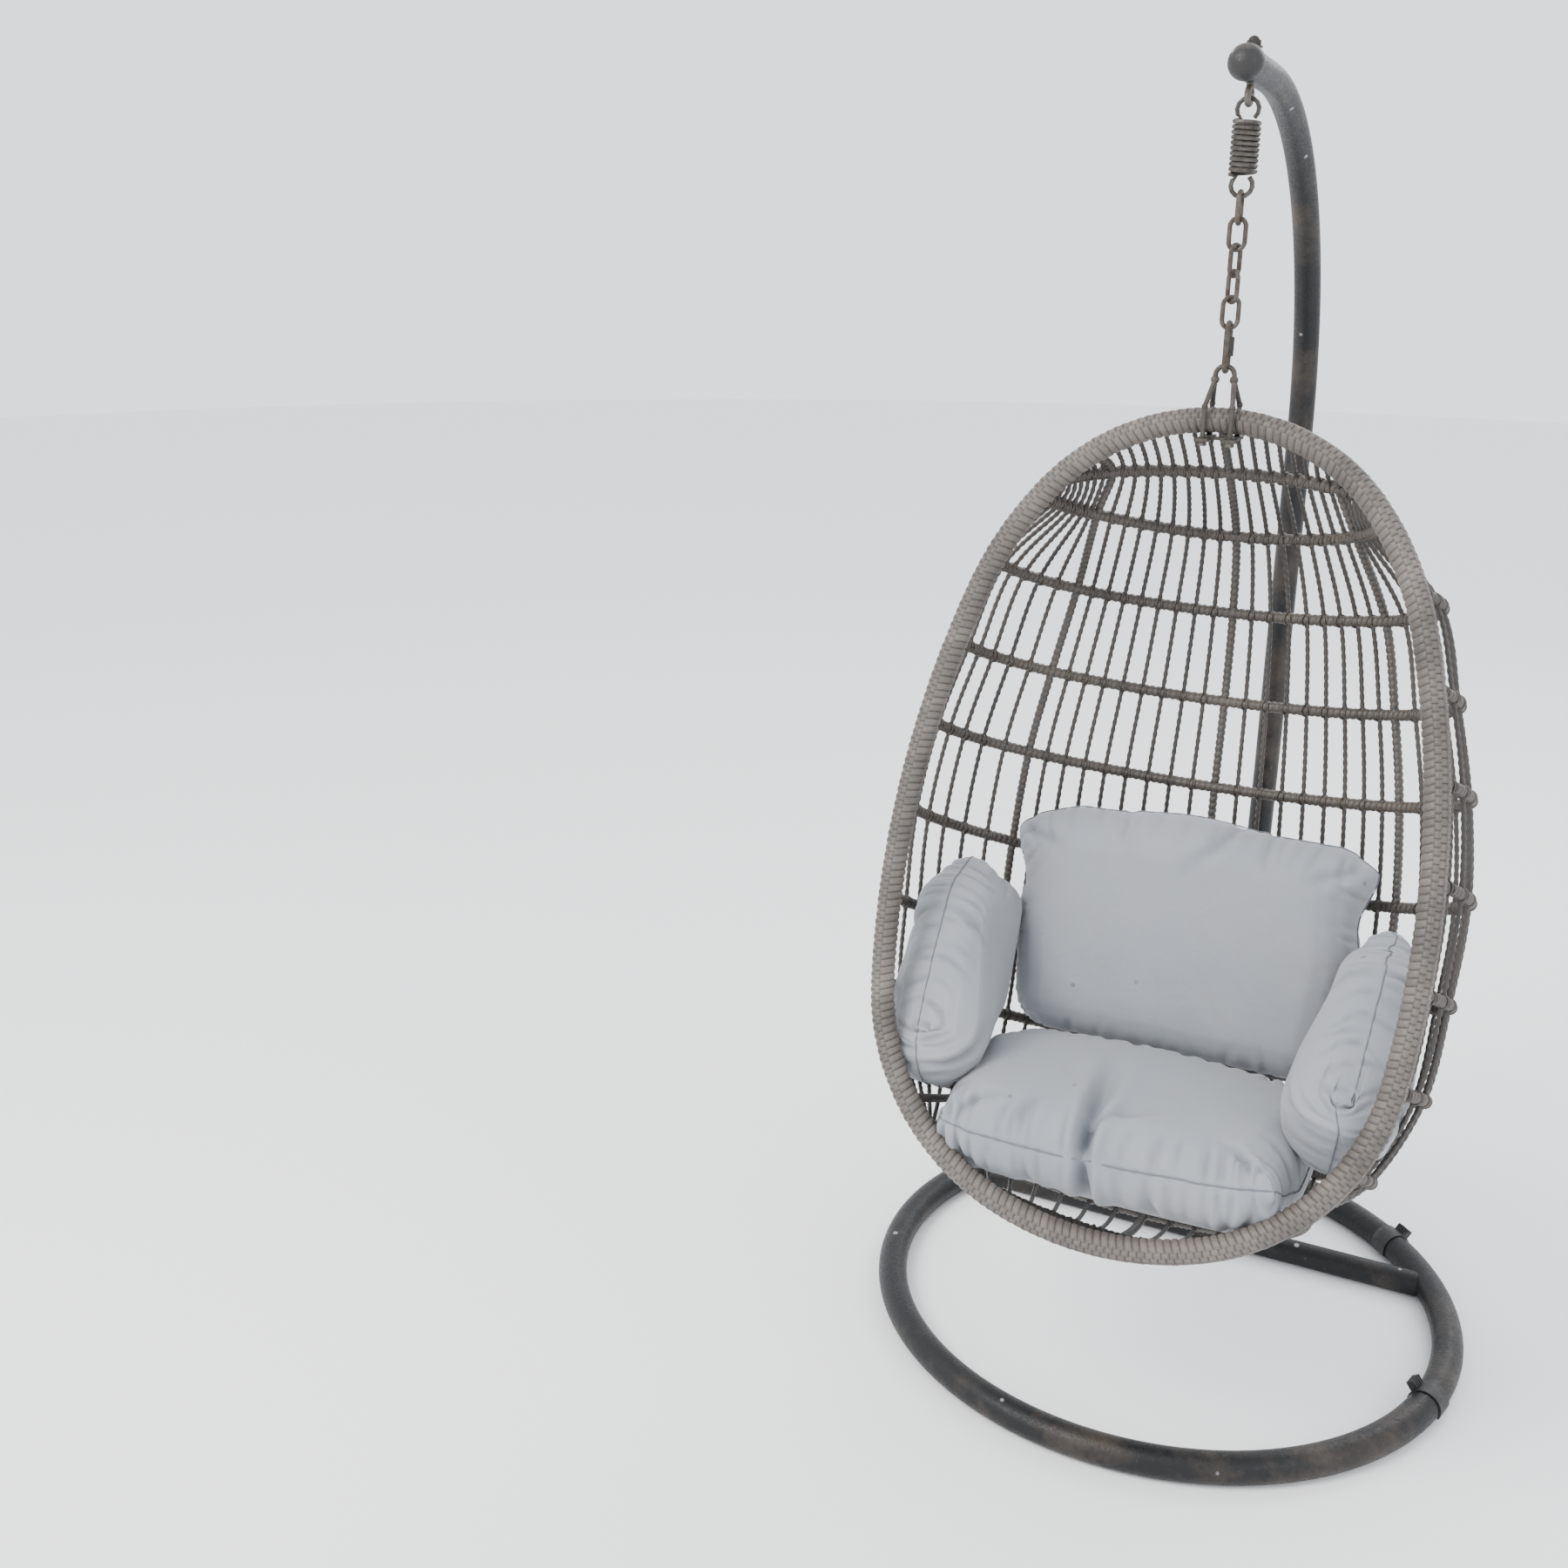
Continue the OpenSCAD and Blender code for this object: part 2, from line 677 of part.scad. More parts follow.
module outer_weave() {
    for (k = [1 : outer_strands])
        tube_along(outer_strand_route(k), strand_d / 2, 4, [1, 0, 0]);
    for (j = [0 : rung_count - 2])
        wound_length(j, rungs[j][4], rungs[j][3]);
}

module weave_inner_right() { color(wicker_dark) in_basket() inner_weave(); }
module weave_outer_right() { color(wicker_dark) in_basket() outer_weave(); }
module weave_inner_left() { color(wicker_dark) in_basket() mirror([1, 0, 0]) inner_weave(); }
module weave_outer_left() { color(wicker_dark) in_basket() mirror([1, 0, 0]) outer_weave(); }

// ---------------------------------------------------------------- cushions

// A stuffed cushion, as the skin stretched over a few balls, each [x, y, z, radius].
module stuffed(balls) {
    hull()
        for (b = balls)
            translate([b[0], b[1], b[2]]) sphere(r = b[3], $fn = 18);
}

function both_sides(balls) = concat(balls, [for (b = balls) [-b[0], b[1], b[2], b[3]]]);

module seat_cushion() {
    color(cushion_grey)
        stuffed(both_sides([[176, -436, 501, 61], [208, -288, 490, 67], [150, -245, 400, 74],
            [174, -212, 474, 65]]));
}

module back_cushion() {
    color(cushion_grey)
        stuffed(both_sides([[175, -44, 800, 63], [184, -98, 580, 65], [194, -66, 694, 67]]));
}

module right_arm_cushion() {
    color(cushion_grey)
        stuffed([[288, -378, 580, 53], [313, -240, 736, 57], [297, -140, 706, 51], [300, -204, 592, 58]]);
}

module left_arm_cushion() { mirror([1, 0, 0]) right_arm_cushion(); }

// ---------------------------------------------------------------- the chair

module stand_at() { translate([0, middle_y, 0]) children(); }

stand_at() base_front_arc();
stand_at() base_right_arc();
stand_at() base_back_arc();
stand_at() base_left_arc();
stand_at() cross_tube();
stand_at() rear_foot();
stand_at() ring_clips();
stand_at() lower_post();
stand_at() upper_post();
stand_at() arm_bend();
stand_at() arm_end();
stand_at() arm_cap();
stand_at() brace_rod();
stand_at() post_screws();
stand_at() eyebolt();
stand_at() eyebolt_washers();
stand_at() eyebolt_nut();
stand_at() spring();
stand_at() chain_link_1();
stand_at() chain_link_2();
stand_at() chain_link_3();
stand_at() chain_link_4();
stand_at() chain_link_5();
stand_at() quick_link();
stand_at() quick_link_nut();
stand_at() hanger_bail();
stand_at() hanger_plates();
stand_at() hanger_bolts();
stand_at() rim_tube();
stand_at() rim_wrap();
stand_at() rim_braid();
stand_at() middle_rib();
stand_at() left_rib();
stand_at() right_rib();
stand_at() rung_1();
stand_at() rung_2();
stand_at() rung_3();
stand_at() rung_4();
stand_at() rung_5();
stand_at() rung_6();
stand_at() rung_7();
stand_at() rung_8();
stand_at() rung_9();
stand_at() rung_10();
stand_at() rung_11();
stand_at() weave_outer_left();
stand_at() weave_inner_left();
stand_at() weave_inner_right();
stand_at() weave_outer_right();
stand_at() seat_cushion();
stand_at() back_cushion();
stand_at() left_arm_cushion();
stand_at() right_arm_cushion();
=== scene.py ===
import json
import math

import bpy
import numpy as np
from mathutils import Matrix, Vector


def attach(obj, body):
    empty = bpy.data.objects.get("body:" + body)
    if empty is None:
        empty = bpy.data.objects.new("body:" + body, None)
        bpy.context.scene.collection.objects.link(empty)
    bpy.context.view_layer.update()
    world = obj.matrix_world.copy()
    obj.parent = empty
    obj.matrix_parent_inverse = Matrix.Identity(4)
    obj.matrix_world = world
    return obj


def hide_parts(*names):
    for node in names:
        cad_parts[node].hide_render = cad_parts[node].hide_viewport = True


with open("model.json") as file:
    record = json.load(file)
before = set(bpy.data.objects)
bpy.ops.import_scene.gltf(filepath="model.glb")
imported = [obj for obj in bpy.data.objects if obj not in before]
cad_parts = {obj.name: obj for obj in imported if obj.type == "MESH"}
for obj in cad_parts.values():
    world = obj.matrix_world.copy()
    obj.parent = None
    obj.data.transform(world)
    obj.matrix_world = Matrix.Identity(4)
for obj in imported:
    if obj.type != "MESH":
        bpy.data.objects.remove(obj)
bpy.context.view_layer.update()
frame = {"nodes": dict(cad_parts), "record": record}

# The object: a hanging egg chair. Metres, Z up, the post on the +Y side, the basket open towards -Y.
MY = -0.002  # how far the part was moved along Y to centre it
HANG = np.array([0.0, -0.118 + MY, 1.495])  # the rim's top, which is the basket's own origin
TILT = math.radians(20)  # how far the basket's mouth leans back

# The camera: where it stands, its turn, its dip, its roll, and its focal length and aim in pixels
EYE = (0.5441, -2.6634 + MY, 1.7915)
YAW, DIP, ROLL = math.radians(27.563), 0.296732, -0.0058734
FRAME_PX, FOCAL_PX = 1800, 2032.2
AIM_PX = (830.9, 847.3)


# ---------------------------------------------------------------- camera, floor, light
def make_camera():
    level = Vector((-math.sin(YAW), math.cos(YAW), 0))
    right = Vector((math.cos(YAW), math.sin(YAW), 0))
    ahead = math.cos(DIP) * level - math.sin(DIP) * Vector((0, 0, 1))
    down = ahead.cross(right)
    r2 = math.cos(ROLL) * right + math.sin(ROLL) * down
    d2 = -math.sin(ROLL) * right + math.cos(ROLL) * down
    data = bpy.data.cameras.new("camera")
    data.sensor_width = 36
    data.lens = FOCAL_PX / FRAME_PX * data.sensor_width
    data.shift_x = (FRAME_PX / 2 - AIM_PX[0]) / FRAME_PX
    data.shift_y = (AIM_PX[1] - FRAME_PX / 2) / FRAME_PX
    cam = bpy.data.objects.new("camera", data)
    bpy.context.collection.objects.link(cam)
    m = Matrix((r2, -d2, -ahead)).transposed().to_4x4()
    m.translation = Vector(EYE)
    cam.matrix_world = m
    bpy.context.scene.camera = cam


def make_light(name, place, aim, size, power, colour=(1, 1, 1)):
    """A round soft light, size across and power in watts, that points from place to aim."""
    data = bpy.data.lights.new(name, "AREA")
    data.shape = "DISK"
    data.size = size
    data.energy = power
    data.color = colour
    o = bpy.data.objects.new(name, data)
    bpy.context.collection.objects.link(o)
    o.location = place
    o.rotation_mode = "QUATERNION"
    o.rotation_quaternion = (Vector(aim) - Vector(place)).to_track_quat("-Z", "Y")


def make_stage():
    world = bpy.data.worlds.new("world")
    bpy.context.scene.world = world
    world.use_nodes = True
    world.node_tree.nodes["Background"].inputs["Color"].default_value = (0.93, 0.96, 1.0, 1)
    world.node_tree.nodes["Background"].inputs["Strength"].default_value = 1.9
    make_light("key", (-2.2, -3.4, 4.2), (0, 0, 0.9), 2.2, 260, (1.0, 0.98, 0.95))
    make_light("fill", (3.4, -1.8, 2.6), (0, 0, 0.8), 2.4, 40, (0.92, 0.96, 1.0))
    make_light("rim_light", (1.2, 3.4, 3.6), (0, 0, 1.0), 1.8, 60)
    me = bpy.data.meshes.new("floor")
    r, n = 14.0, 96
    turns = [2 * math.pi * k / n for k in range(n)]
    me.from_pydata([(r * math.cos(t), r * math.sin(t), 0) for t in turns], [], [list(range(n))])
    floor = bpy.data.objects.new("floor", me)
    bpy.context.collection.objects.link(floor)
    me.materials.append(new_material("floor_white", (0.90, 0.90, 0.905), 0.85)[0])


# ---------------------------------------------------------------- material helpers
def new_material(name, colour, rough, metal=0.0):
    mat = bpy.data.materials.new(name)
    mat.use_nodes = True
    nt = mat.node_tree
    bsdf = nt.nodes["Principled BSDF"]
    bsdf.inputs["Base Color"].default_value = (*colour, 1)
    bsdf.inputs["Roughness"].default_value = rough
    bsdf.inputs["Metallic"].default_value = metal
    return mat, nt, bsdf


def coords(nt, scale=(1, 1, 1)):
    """The object's own coordinates."""
    tc = nt.nodes.new("ShaderNodeTexCoord")
    mp = nt.nodes.new("ShaderNodeMapping")
    mp.inputs["Scale"].default_value = scale
    nt.links.new(tc.outputs["Object"], mp.inputs["Vector"])
    return mp.outputs["Vector"]


def noise(nt, vec, scale, detail=3.0, rough=0.55, distortion=0.0):
    n = nt.nodes.new("ShaderNodeTexNoise")
    n.inputs["Scale"].default_value = scale
    n.inputs["Detail"].default_value = detail
    n.inputs["Roughness"].default_value = rough
    n.inputs["Distortion"].default_value = distortion
    nt.links.new(vec, n.inputs["Vector"])
    return n.outputs["Fac"]


def ramp(nt, fac, stops):
    """A colour ramp; each stop is a position and a grey or a colour."""
    r = nt.nodes.new("ShaderNodeValToRGB")
    e = r.color_ramp.elements
    while len(e) < len(stops):
        e.new(0.5)
    for i, (p, c) in enumerate(stops):
        e[i].position = p
        e[i].color = (c, c, c, 1) if isinstance(c, (int, float)) else (*c, 1)
    nt.links.new(fac, r.inputs["Fac"])
    return r.outputs["Color"]


def mix(nt, fac, a, b, how="MIX"):
    m = nt.nodes.new("ShaderNodeMix")
    m.data_type = "RGBA"
    m.blend_type = how
    for sock, v in ((m.inputs[0], fac), (m.inputs[6], a), (m.inputs[7], b)):
        if isinstance(v, bpy.types.NodeSocket):
            nt.links.new(v, sock)
        elif isinstance(v, (int, float)):
            sock.default_value = v
        else:
            sock.default_value = (*v, 1)
    return m.outputs[2]


def maths(nt, how, a, b=0.0):
    m = nt.nodes.new("ShaderNodeMath")
    m.operation = how
    for sock, v in ((m.inputs[0], a), (m.inputs[1], b)):
        if isinstance(v, bpy.types.NodeSocket):
            nt.links.new(v, sock)
        else:
            sock.default_value = v
    return m.outputs[0]


def bump(nt, bsdf, height, strength, distance):
    b = nt.nodes.new("ShaderNodeBump")
    b.inputs["Strength"].default_value = strength
    b.inputs["Distance"].default_value = distance
    nt.links.new(height, b.inputs["Height"])
    nt.links.new(b.outputs["Normal"], bsdf.inputs["Normal"])


def attribute(nt, name):
    a = nt.nodes.new("ShaderNodeAttribute")
    a.attribute_name = name
    return a.outputs["Fac"]


def spots(nt, vec, scale, size):
    """Small round specks."""
    v = nt.nodes.new("ShaderNodeTexVoronoi")
    v.inputs["Scale"].default_value = scale
    nt.links.new(vec, v.inputs["Vector"])
    return ramp(nt, v.outputs["Distance"], [(0.0, 1.0), (size, 1.0), (min(size * 1.6, 0.99), 0.0)])


def material_wicker(name, pale, mid, dark):
    """Resin strip: ridge sets painted shade that darkens the gaps between wraps, tone shades each wrap by a
    random amount, strip runs across one.
    """
    mat, nt, bsdf = new_material(name, mid, 0.5)
    vec = coords(nt)
    broad = noise(nt, vec, 9, 4)
    tint = mix(nt, ramp(nt, broad, [(0.35, 0.0), (0.7, 1.0)]), mid, pale)
    tone = attribute(nt, "tone")
    tint = mix(nt, ramp(nt, tone, [(0.0, 0.0), (1.0, 0.75)]), tint, dark)
    fine = noise(nt, vec, 420, 3, 0.6)
    tint = mix(nt, 0.45, tint, ramp(nt, fine, [(0.25, 0.25), (0.6, 1.0)]), "MULTIPLY")
    ridge = attribute(nt, "ridge")
    # Painted shade: where ridge is low, in the gaps between wraps and turns, the colour is darkened towards near
    # black.
    tint = mix(nt, ramp(nt, ridge, [(0.0, 1.0), (0.35, 0.25), (0.8, 0.0)]), tint, (0.03, 0.024, 0.02))
    nt.links.new(tint, bsdf.inputs["Base Color"])
    nt.links.new(ramp(nt, fine, [(0.2, 0.36), (0.8, 0.62)]), bsdf.inputs["Roughness"])
    bsdf.inputs["Specular IOR Level"].default_value = 0.55
    groove = maths(nt, "SINE", maths(nt, "MULTIPLY", attribute(nt, "strip"), 25.1))
    bump(nt, bsdf, maths(nt, "ADD", fine, maths(nt, "MULTIPLY", groove, 0.35)), 0.6, 0.0007)
    return mat


def material_powder(name, colour, brown=0.25):
    """Worn powder paint with a hammered skin."""
    mat, nt, bsdf = new_material(name, colour, 0.45, 0.0)
    vec = coords(nt)
    wear = ramp(nt, noise(nt, vec, 7, 6, 0.7), [(0.5, 0.0), (0.72, 1.0)])
    tint = mix(nt, maths(nt, "MULTIPLY", wear, brown), colour, (0.16, 0.12, 0.085))
    scuff = ramp(nt, noise(nt, coords(nt, (1, 1, 0.25)), 90, 5, 0.75), [(0.66, 0.0), (0.74, 1.0)])
    tint = mix(nt, maths(nt, "MULTIPLY", scuff, 0.22), tint, (0.34, 0.34, 0.35))
    tint = mix(nt, maths(nt, "MULTIPLY", spots(nt, vec, 16, 0.05), 0.55), tint, (0.5, 0.5, 0.49))
    nt.links.new(tint, bsdf.inputs["Base Color"])
    hammer = noise(nt, vec, 330, 2, 0.5)
    bsdf.inputs["Specular IOR Level"].default_value = 0.3
    nt.links.new(ramp(nt, hammer, [(0.3, 0.36), (0.7, 0.6)]), bsdf.inputs["Roughness"])
    bump(nt, bsdf, hammer, 0.5, 0.0012)
    return mat


def material_steel(name, bright, rust, amount, rough=0.42):
    """Tarnished steel with patches of rust."""
    mat, nt, bsdf = new_material(name, bright, rough, 0.75)
    vec = coords(nt)
    patch = ramp(nt, noise(nt, vec, 70, 6, 0.7), [(0.5 - amount * 0.3, 0.0), (0.75 - amount * 0.3, 1.0)])
    nt.links.new(mix(nt, patch, bright, rust), bsdf.inputs["Base Color"])
    nt.links.new(ramp(nt, patch, [(0, rough), (1, 0.8)]), bsdf.inputs["Roughness"])
    nt.links.new(ramp(nt, patch, [(0, 0.85), (1, 0.25)]), bsdf.inputs["Metallic"])
    bump(nt, bsdf, noise(nt, vec, 600, 4), 0.4, 0.0006)
    return mat


def material_plastic(name, colour, rough):
    mat, nt, bsdf = new_material(name, colour, rough)
    vec = coords(nt)
    dust = ramp(nt, noise(nt, vec, 60, 5, 0.65), [(0.5, 0.0), (0.8, 0.35)])
    nt.links.new(mix(nt, dust, colour, (0.16, 0.14, 0.12)), bsdf.inputs["Base Color"])
    bump(nt, bsdf, noise(nt, vec, 500, 2), 0.25, 0.0005)
    return mat


def material_cloth(name):
    base = (0.24, 0.258, 0.285)
    mat, nt, bsdf = new_material(name, base, 0.8)
    vec = coords(nt)
    faded = ramp(nt, noise(nt, vec, 4.5, 5, 0.6), [(0.35, 0.0), (0.75, 1.0)])
    tint = mix(nt, faded, base, (0.285, 0.293, 0.312))
    soil = ramp(nt, noise(nt, vec, 11, 6, 0.7, 0.6), [(0.56, 0.0), (0.76, 1.0)])
    tint = mix(nt, maths(nt, "MULTIPLY", soil, 0.28), tint, (0.215, 0.2, 0.19))
    where = ramp(nt, noise(nt, vec, 3, 1), [(0.5, 0.0), (0.55, 0.6)])
    dots = maths(nt, "MULTIPLY", spots(nt, vec, 15, 0.045), where)
    tint = mix(nt, dots, tint, (0.10, 0.09, 0.085))
    # Painted shade: the creases of the folds are darkened towards a deep blue-grey.
    tint = mix(nt, ramp(nt, attribute(nt, "crease"), [(0.0, 0.0), (1.0, 0.55)]), tint, (0.12, 0.135, 0.155))
    nt.links.new(tint, bsdf.inputs["Base Color"])
    bsdf.inputs["Sheen Weight"].default_value = 0.25
    bsdf.inputs["Sheen Roughness"].default_value = 0.5
    bsdf.inputs["Specular IOR Level"].default_value = 0.35
    weave = []
    for axis in range(3):
        w = nt.nodes.new("ShaderNodeTexWave")
        w.bands_direction = "XYZ"[axis]
        w.inputs["Scale"].default_value = 420
        w.inputs["Distortion"].default_value = 0.6
        w.inputs["Detail"].default_value = 1
        nt.links.new(vec, w.inputs["Vector"])
        weave.append(w.outputs["Fac"])
    total = maths(nt, "ADD", maths(nt, "ADD", weave[0], weave[1]), weave[2])
    rumple = noise(nt, vec, 38, 4, 0.6, 0.8)
    height = maths(nt, "ADD", maths(nt, "MULTIPLY", total, 0.06), rumple)
    bump(nt, bsdf, height, 0.32, 0.0035)
    return mat


# ---------------------------------------------------------------- mesh helpers
def mesh_object(name, verts, faces, mat, attrs=None):
    me = bpy.data.meshes.new(name)
    verts, faces = np.asarray(verts, float), np.asarray(faces, int)
    me.vertices.add(len(verts))
    me.vertices.foreach_set("co", verts.ravel())
    n, k = faces.shape
    me.loops.add(n * k)
    me.loops.foreach_set("vertex_index", faces.ravel())
    me.polygons.add(n)
    me.polygons.foreach_set("loop_start", np.arange(n) * k)
    me.polygons.foreach_set("use_smooth", np.ones(n, bool))
    me.update(calc_edges=True)
    for key, values in (attrs or {}).items():
        a = me.attributes.new(key, "FLOAT", "POINT")
        a.data.foreach_set("value", np.asarray(values, float))
    me.materials.append(mat)
    o = bpy.data.objects.new(name, me)
    bpy.context.collection.objects.link(o)
    return o


class Pile:
    """Gathers swept tubes into one mesh."""

    def __init__(self):
        self.v, self.f, self.ridge, self.tone, self.n = [], [], [], [], 0

    def add(self, v, f, ridge, tone):
        self.v.append(v)
        self.f.append(f + self.n)
        self.ridge.append(ridge)
        self.tone.append(tone)
        self.n += len(v)

    def make(self, name, mat):
        return mesh_object(
            name,
            np.vstack(self.v),
            np.vstack(self.f),
            mat,
            {"ridge": np.concatenate(self.ridge), "tone": np.concatenate(self.tone)},
        )


def smooth_route(points, step):
    """A Catmull-Rom curve through the points, sampled at an even step."""
    p = np.asarray(points, float)
    ext = np.vstack([2 * p[0] - p[1], p, 2 * p[-1] - p[-2]])
    out = []
    t = np.linspace(0, 1, 13)[:-1][:, None]
    for i in range(len(p) - 1):
        a, b, c, d = ext[i : i + 4]
        square, cube = 2 * a - 5 * b + 4 * c - d, 3 * b - a - 3 * c + d
        out.append(0.5 * (2 * b + (c - a) * t + square * t**2 + cube * t**3))
    out.append(p[-1:])
    return even(np.vstack(out), step)


def even(p, step):
    """The same route with its points a step apart."""
    s = np.r_[0, np.cumsum(np.linalg.norm(np.diff(p, axis=0), axis=1))]
    n = max(2, int(round(s[-1] / step)) + 1)
    u = np.linspace(0, s[-1], n)
    return np.stack([np.interp(u, s, p[:, k]) for k in range(3)], 1)


def frames(p, first):
    """Two directions square to the route at each of its points, carried along without twist."""
    t = np.gradient(p, axis=0)
    t /= np.linalg.norm(t, axis=1)[:, None]
    n = np.empty_like(p)
    cur = np.asarray(first, float)
    for i in range(len(p)):
        cur = cur - (cur @ t[i]) * t[i]
        cur /= np.linalg.norm(cur)
        n[i] = cur
    return n, np.cross(t, n)


def tube(pile, p, sides, radius, first=(0.05, 1, 0.1), tone=0.5, close_ends=True):
    """radius(s, angle) gives the radius and the ridge value; s is the length along the tube."""
    n, b = frames(p, first)
    s = np.r_[0, np.cumsum(np.linalg.norm(np.diff(p, axis=0), axis=1))][:, None]
    a = np.linspace(0, 2 * np.pi, sides, endpoint=False)[None, :]
    r, ridge = radius(s, a)
    r = np.broadcast_to(r, (len(p), sides)).copy()
    ridge = np.broadcast_to(ridge, (len(p), sides)).copy()
    if close_ends:
        r[0] *= 0.05
        r[-1] *= 0.05
    around = np.cos(a)[..., None] * n[:, None, :] + np.sin(a)[..., None] * b[:, None, :]
    v = p[:, None, :] + r[..., None] * around
    i = np.arange(len(p) - 1)[:, None] * sides
    k = np.arange(sides)[None, :]
    k2 = (k + 1) % sides
    f = np.stack([i + k, i + k2, i + sides + k2, i + sides + k], -1).reshape(-1, 4)
    pile.add(v.reshape(-1, 3), f, ridge.ravel(), np.full(len(p) * sides, tone))


# ---------------------------------------------------------------- the basket's shape
# Half of the rim, from its top down, as arcs of [radius, degrees turned]; the last radius follows
ARCS = [[0.290, 52], [0.480, 21.5], [1.470, 23.5], [0.330, 64], [0.0, 19]]


def arc_chain():
    """Each arc's centre, radius, first and last heading, and height where it starts."""
    h, x, y, out = 0.0, 0.0, 0.0, []
    for i, (r, turn) in enumerate(ARCS):
        if i == len(ARCS) - 1:
            r = x / math.sin(h)
        cx, cy = x - r * math.sin(h), y - r * math.cos(h)
        h2 = h + math.radians(turn)
        out.append((cx, cy, r, h, h2, y))
        x, y, h = cx + r * math.sin(h2), cy + r * math.cos(h2), h2
    return out


CHAIN = arc_chain()
RIM_LOW = CHAIN[-1][2] - CHAIN[-1][1]


def half_width(drop):
    """Half the mouth's width at a drop below its top."""
    cx, cy, r = [c for c in CHAIN if -c[5] <= drop + 1e-9][-1][:3]
    return cx + math.sqrt(max(0.0, r * r - (drop + cy) ** 2))


def top_drop(u):
    """How far the rim's top has fallen at a distance u to the side."""
    return CHAIN[0][2] - math.sqrt(CHAIN[0][2] ** 2 - u * u)


def bottom_drop(u):
    return -CHAIN[-1][1] + math.sqrt(CHAIN[-1][2] ** 2 - u * u)


# Each rung in mm and degrees: drop at its ends, drop at its middle, depth, the angle at which it meets
# the rim, and the angle at which it crosses a side rib
RUNGS = [
    [105, 50, 112, 88, 48],
    [130, 121, 234, 75, 50],
    [211, 229, 302, 117, 47],
    [337, 363, 348, 115.5, 47],
    [458, 498, 380, 117, 47],
    [590, 650, 425, 117.5, 47],
    [736, 795, 455, 115.5, 48],
    [868, 935, 472, 115, 50],
    [987, 1074, 455, 112, 59],
    [1048, 1182, 371, 96, 80],
    [1100, 1195, 211, 88, 88],
]


def rung_point(j, deg, inset=0.006):
    """A point of rung j, by its angle from the middle, in the basket's own frame."""
    drop, mid, deep = (v / 1000 for v in RUNGS[j][:3])
    end = RUNGS[j][3]
    a, e = math.radians(deg), math.radians(end)
    g = (math.cos(a) - math.cos(e)) / (1 - math.cos(e))
    x = (half_width(drop) - inset) * math.sin(a) / math.sin(e)
    return np.array([x, deep * g, -drop + (drop - mid) * g])


def to_world(p):
    p = np.atleast_2d(p)
    c, s = math.cos(TILT), math.sin(TILT)
    return np.stack([p[:, 0], p[:, 1] * c + p[:, 2] * s, -p[:, 1] * s + p[:, 2] * c], 1) + HANG


INNER, OUTER = 8, 8


def strand_routes():
    """Each strand's crossings with the rungs, for both sides, as (points, rungs crossed)."""
    out = []
    for side in (-1, 1):
        flip = np.array([side, 1, 1])
        for k in range(1, INNER + 1):
            part = k / (INNER + 1)
            pts = [rung_point(j, RUNGS[j][4] * part) for j in range(11)]
            top, low = pts[0][0], pts[-1][0]
            ends = np.array([top, 0, -top_drop(top)]), np.array([low, 0, -bottom_drop(low)])
            out.append([p * flip for p in (ends[0], *pts, ends[1])])
        for k in range(1, OUTER + 1):
            part = k / (OUTER + 1)
            pts = [rung_point(j, RUNGS[j][4] + (RUNGS[j][3] - RUNGS[j][4]) * part) for j in range(10)]
            top = pts[0][0]
            out.append([p * flip for p in (np.array([top, 0, -top_drop(top)]), *pts)])
    return out


# The rim's wicker: how many times the strip goes round, rings of points to each wrap, points to a ring
RIM_WRAPS, RINGS_EACH, RIM_SIDES = 282, 11, 48
# Where the rim's bands of wraps meet, in degrees round its section. 0 points outward from the mouth,
# 90 towards the back and -90 towards the sitter's side. Each band steps half a wrap past the last.
BANDS = np.array([-205.0, -92, -64, -36, -8, 20, 155])
RIM_BARE, BAND_LIFT, WRAP_LIFT = 0.0150, 0.0010, 0.0023


def rim_ring():
    """Rings along the closed rim, each [x, z, outward x, outward z], and the rim's length."""
    steps = []
    for side, order in ((1, range(5)), (-1, range(4, -1, -1))):
        for i in order:
            cx, cy, r, h1, h2, _ = CHAIN[i]
            hs = np.linspace(h1, h2, 160)
            if side < 0:
                hs = hs[::-1]
            x, z = side * (cx + r * np.sin(hs)), cy + r * np.cos(hs)
            steps.append(np.stack([x, z, side * np.sin(hs), np.cos(hs)], 1)[:-1])
    ring = np.vstack(steps)
    ring = np.vstack([ring, ring[:1]])
    s = np.r_[0, np.cumsum(np.linalg.norm(np.diff(ring[:, :2], axis=0), axis=1))]
    u = np.linspace(0, s[-1], RIM_WRAPS * RINGS_EACH, endpoint=False)
    return np.stack([np.interp(u, s, ring[:, k]) for k in range(4)], 1)


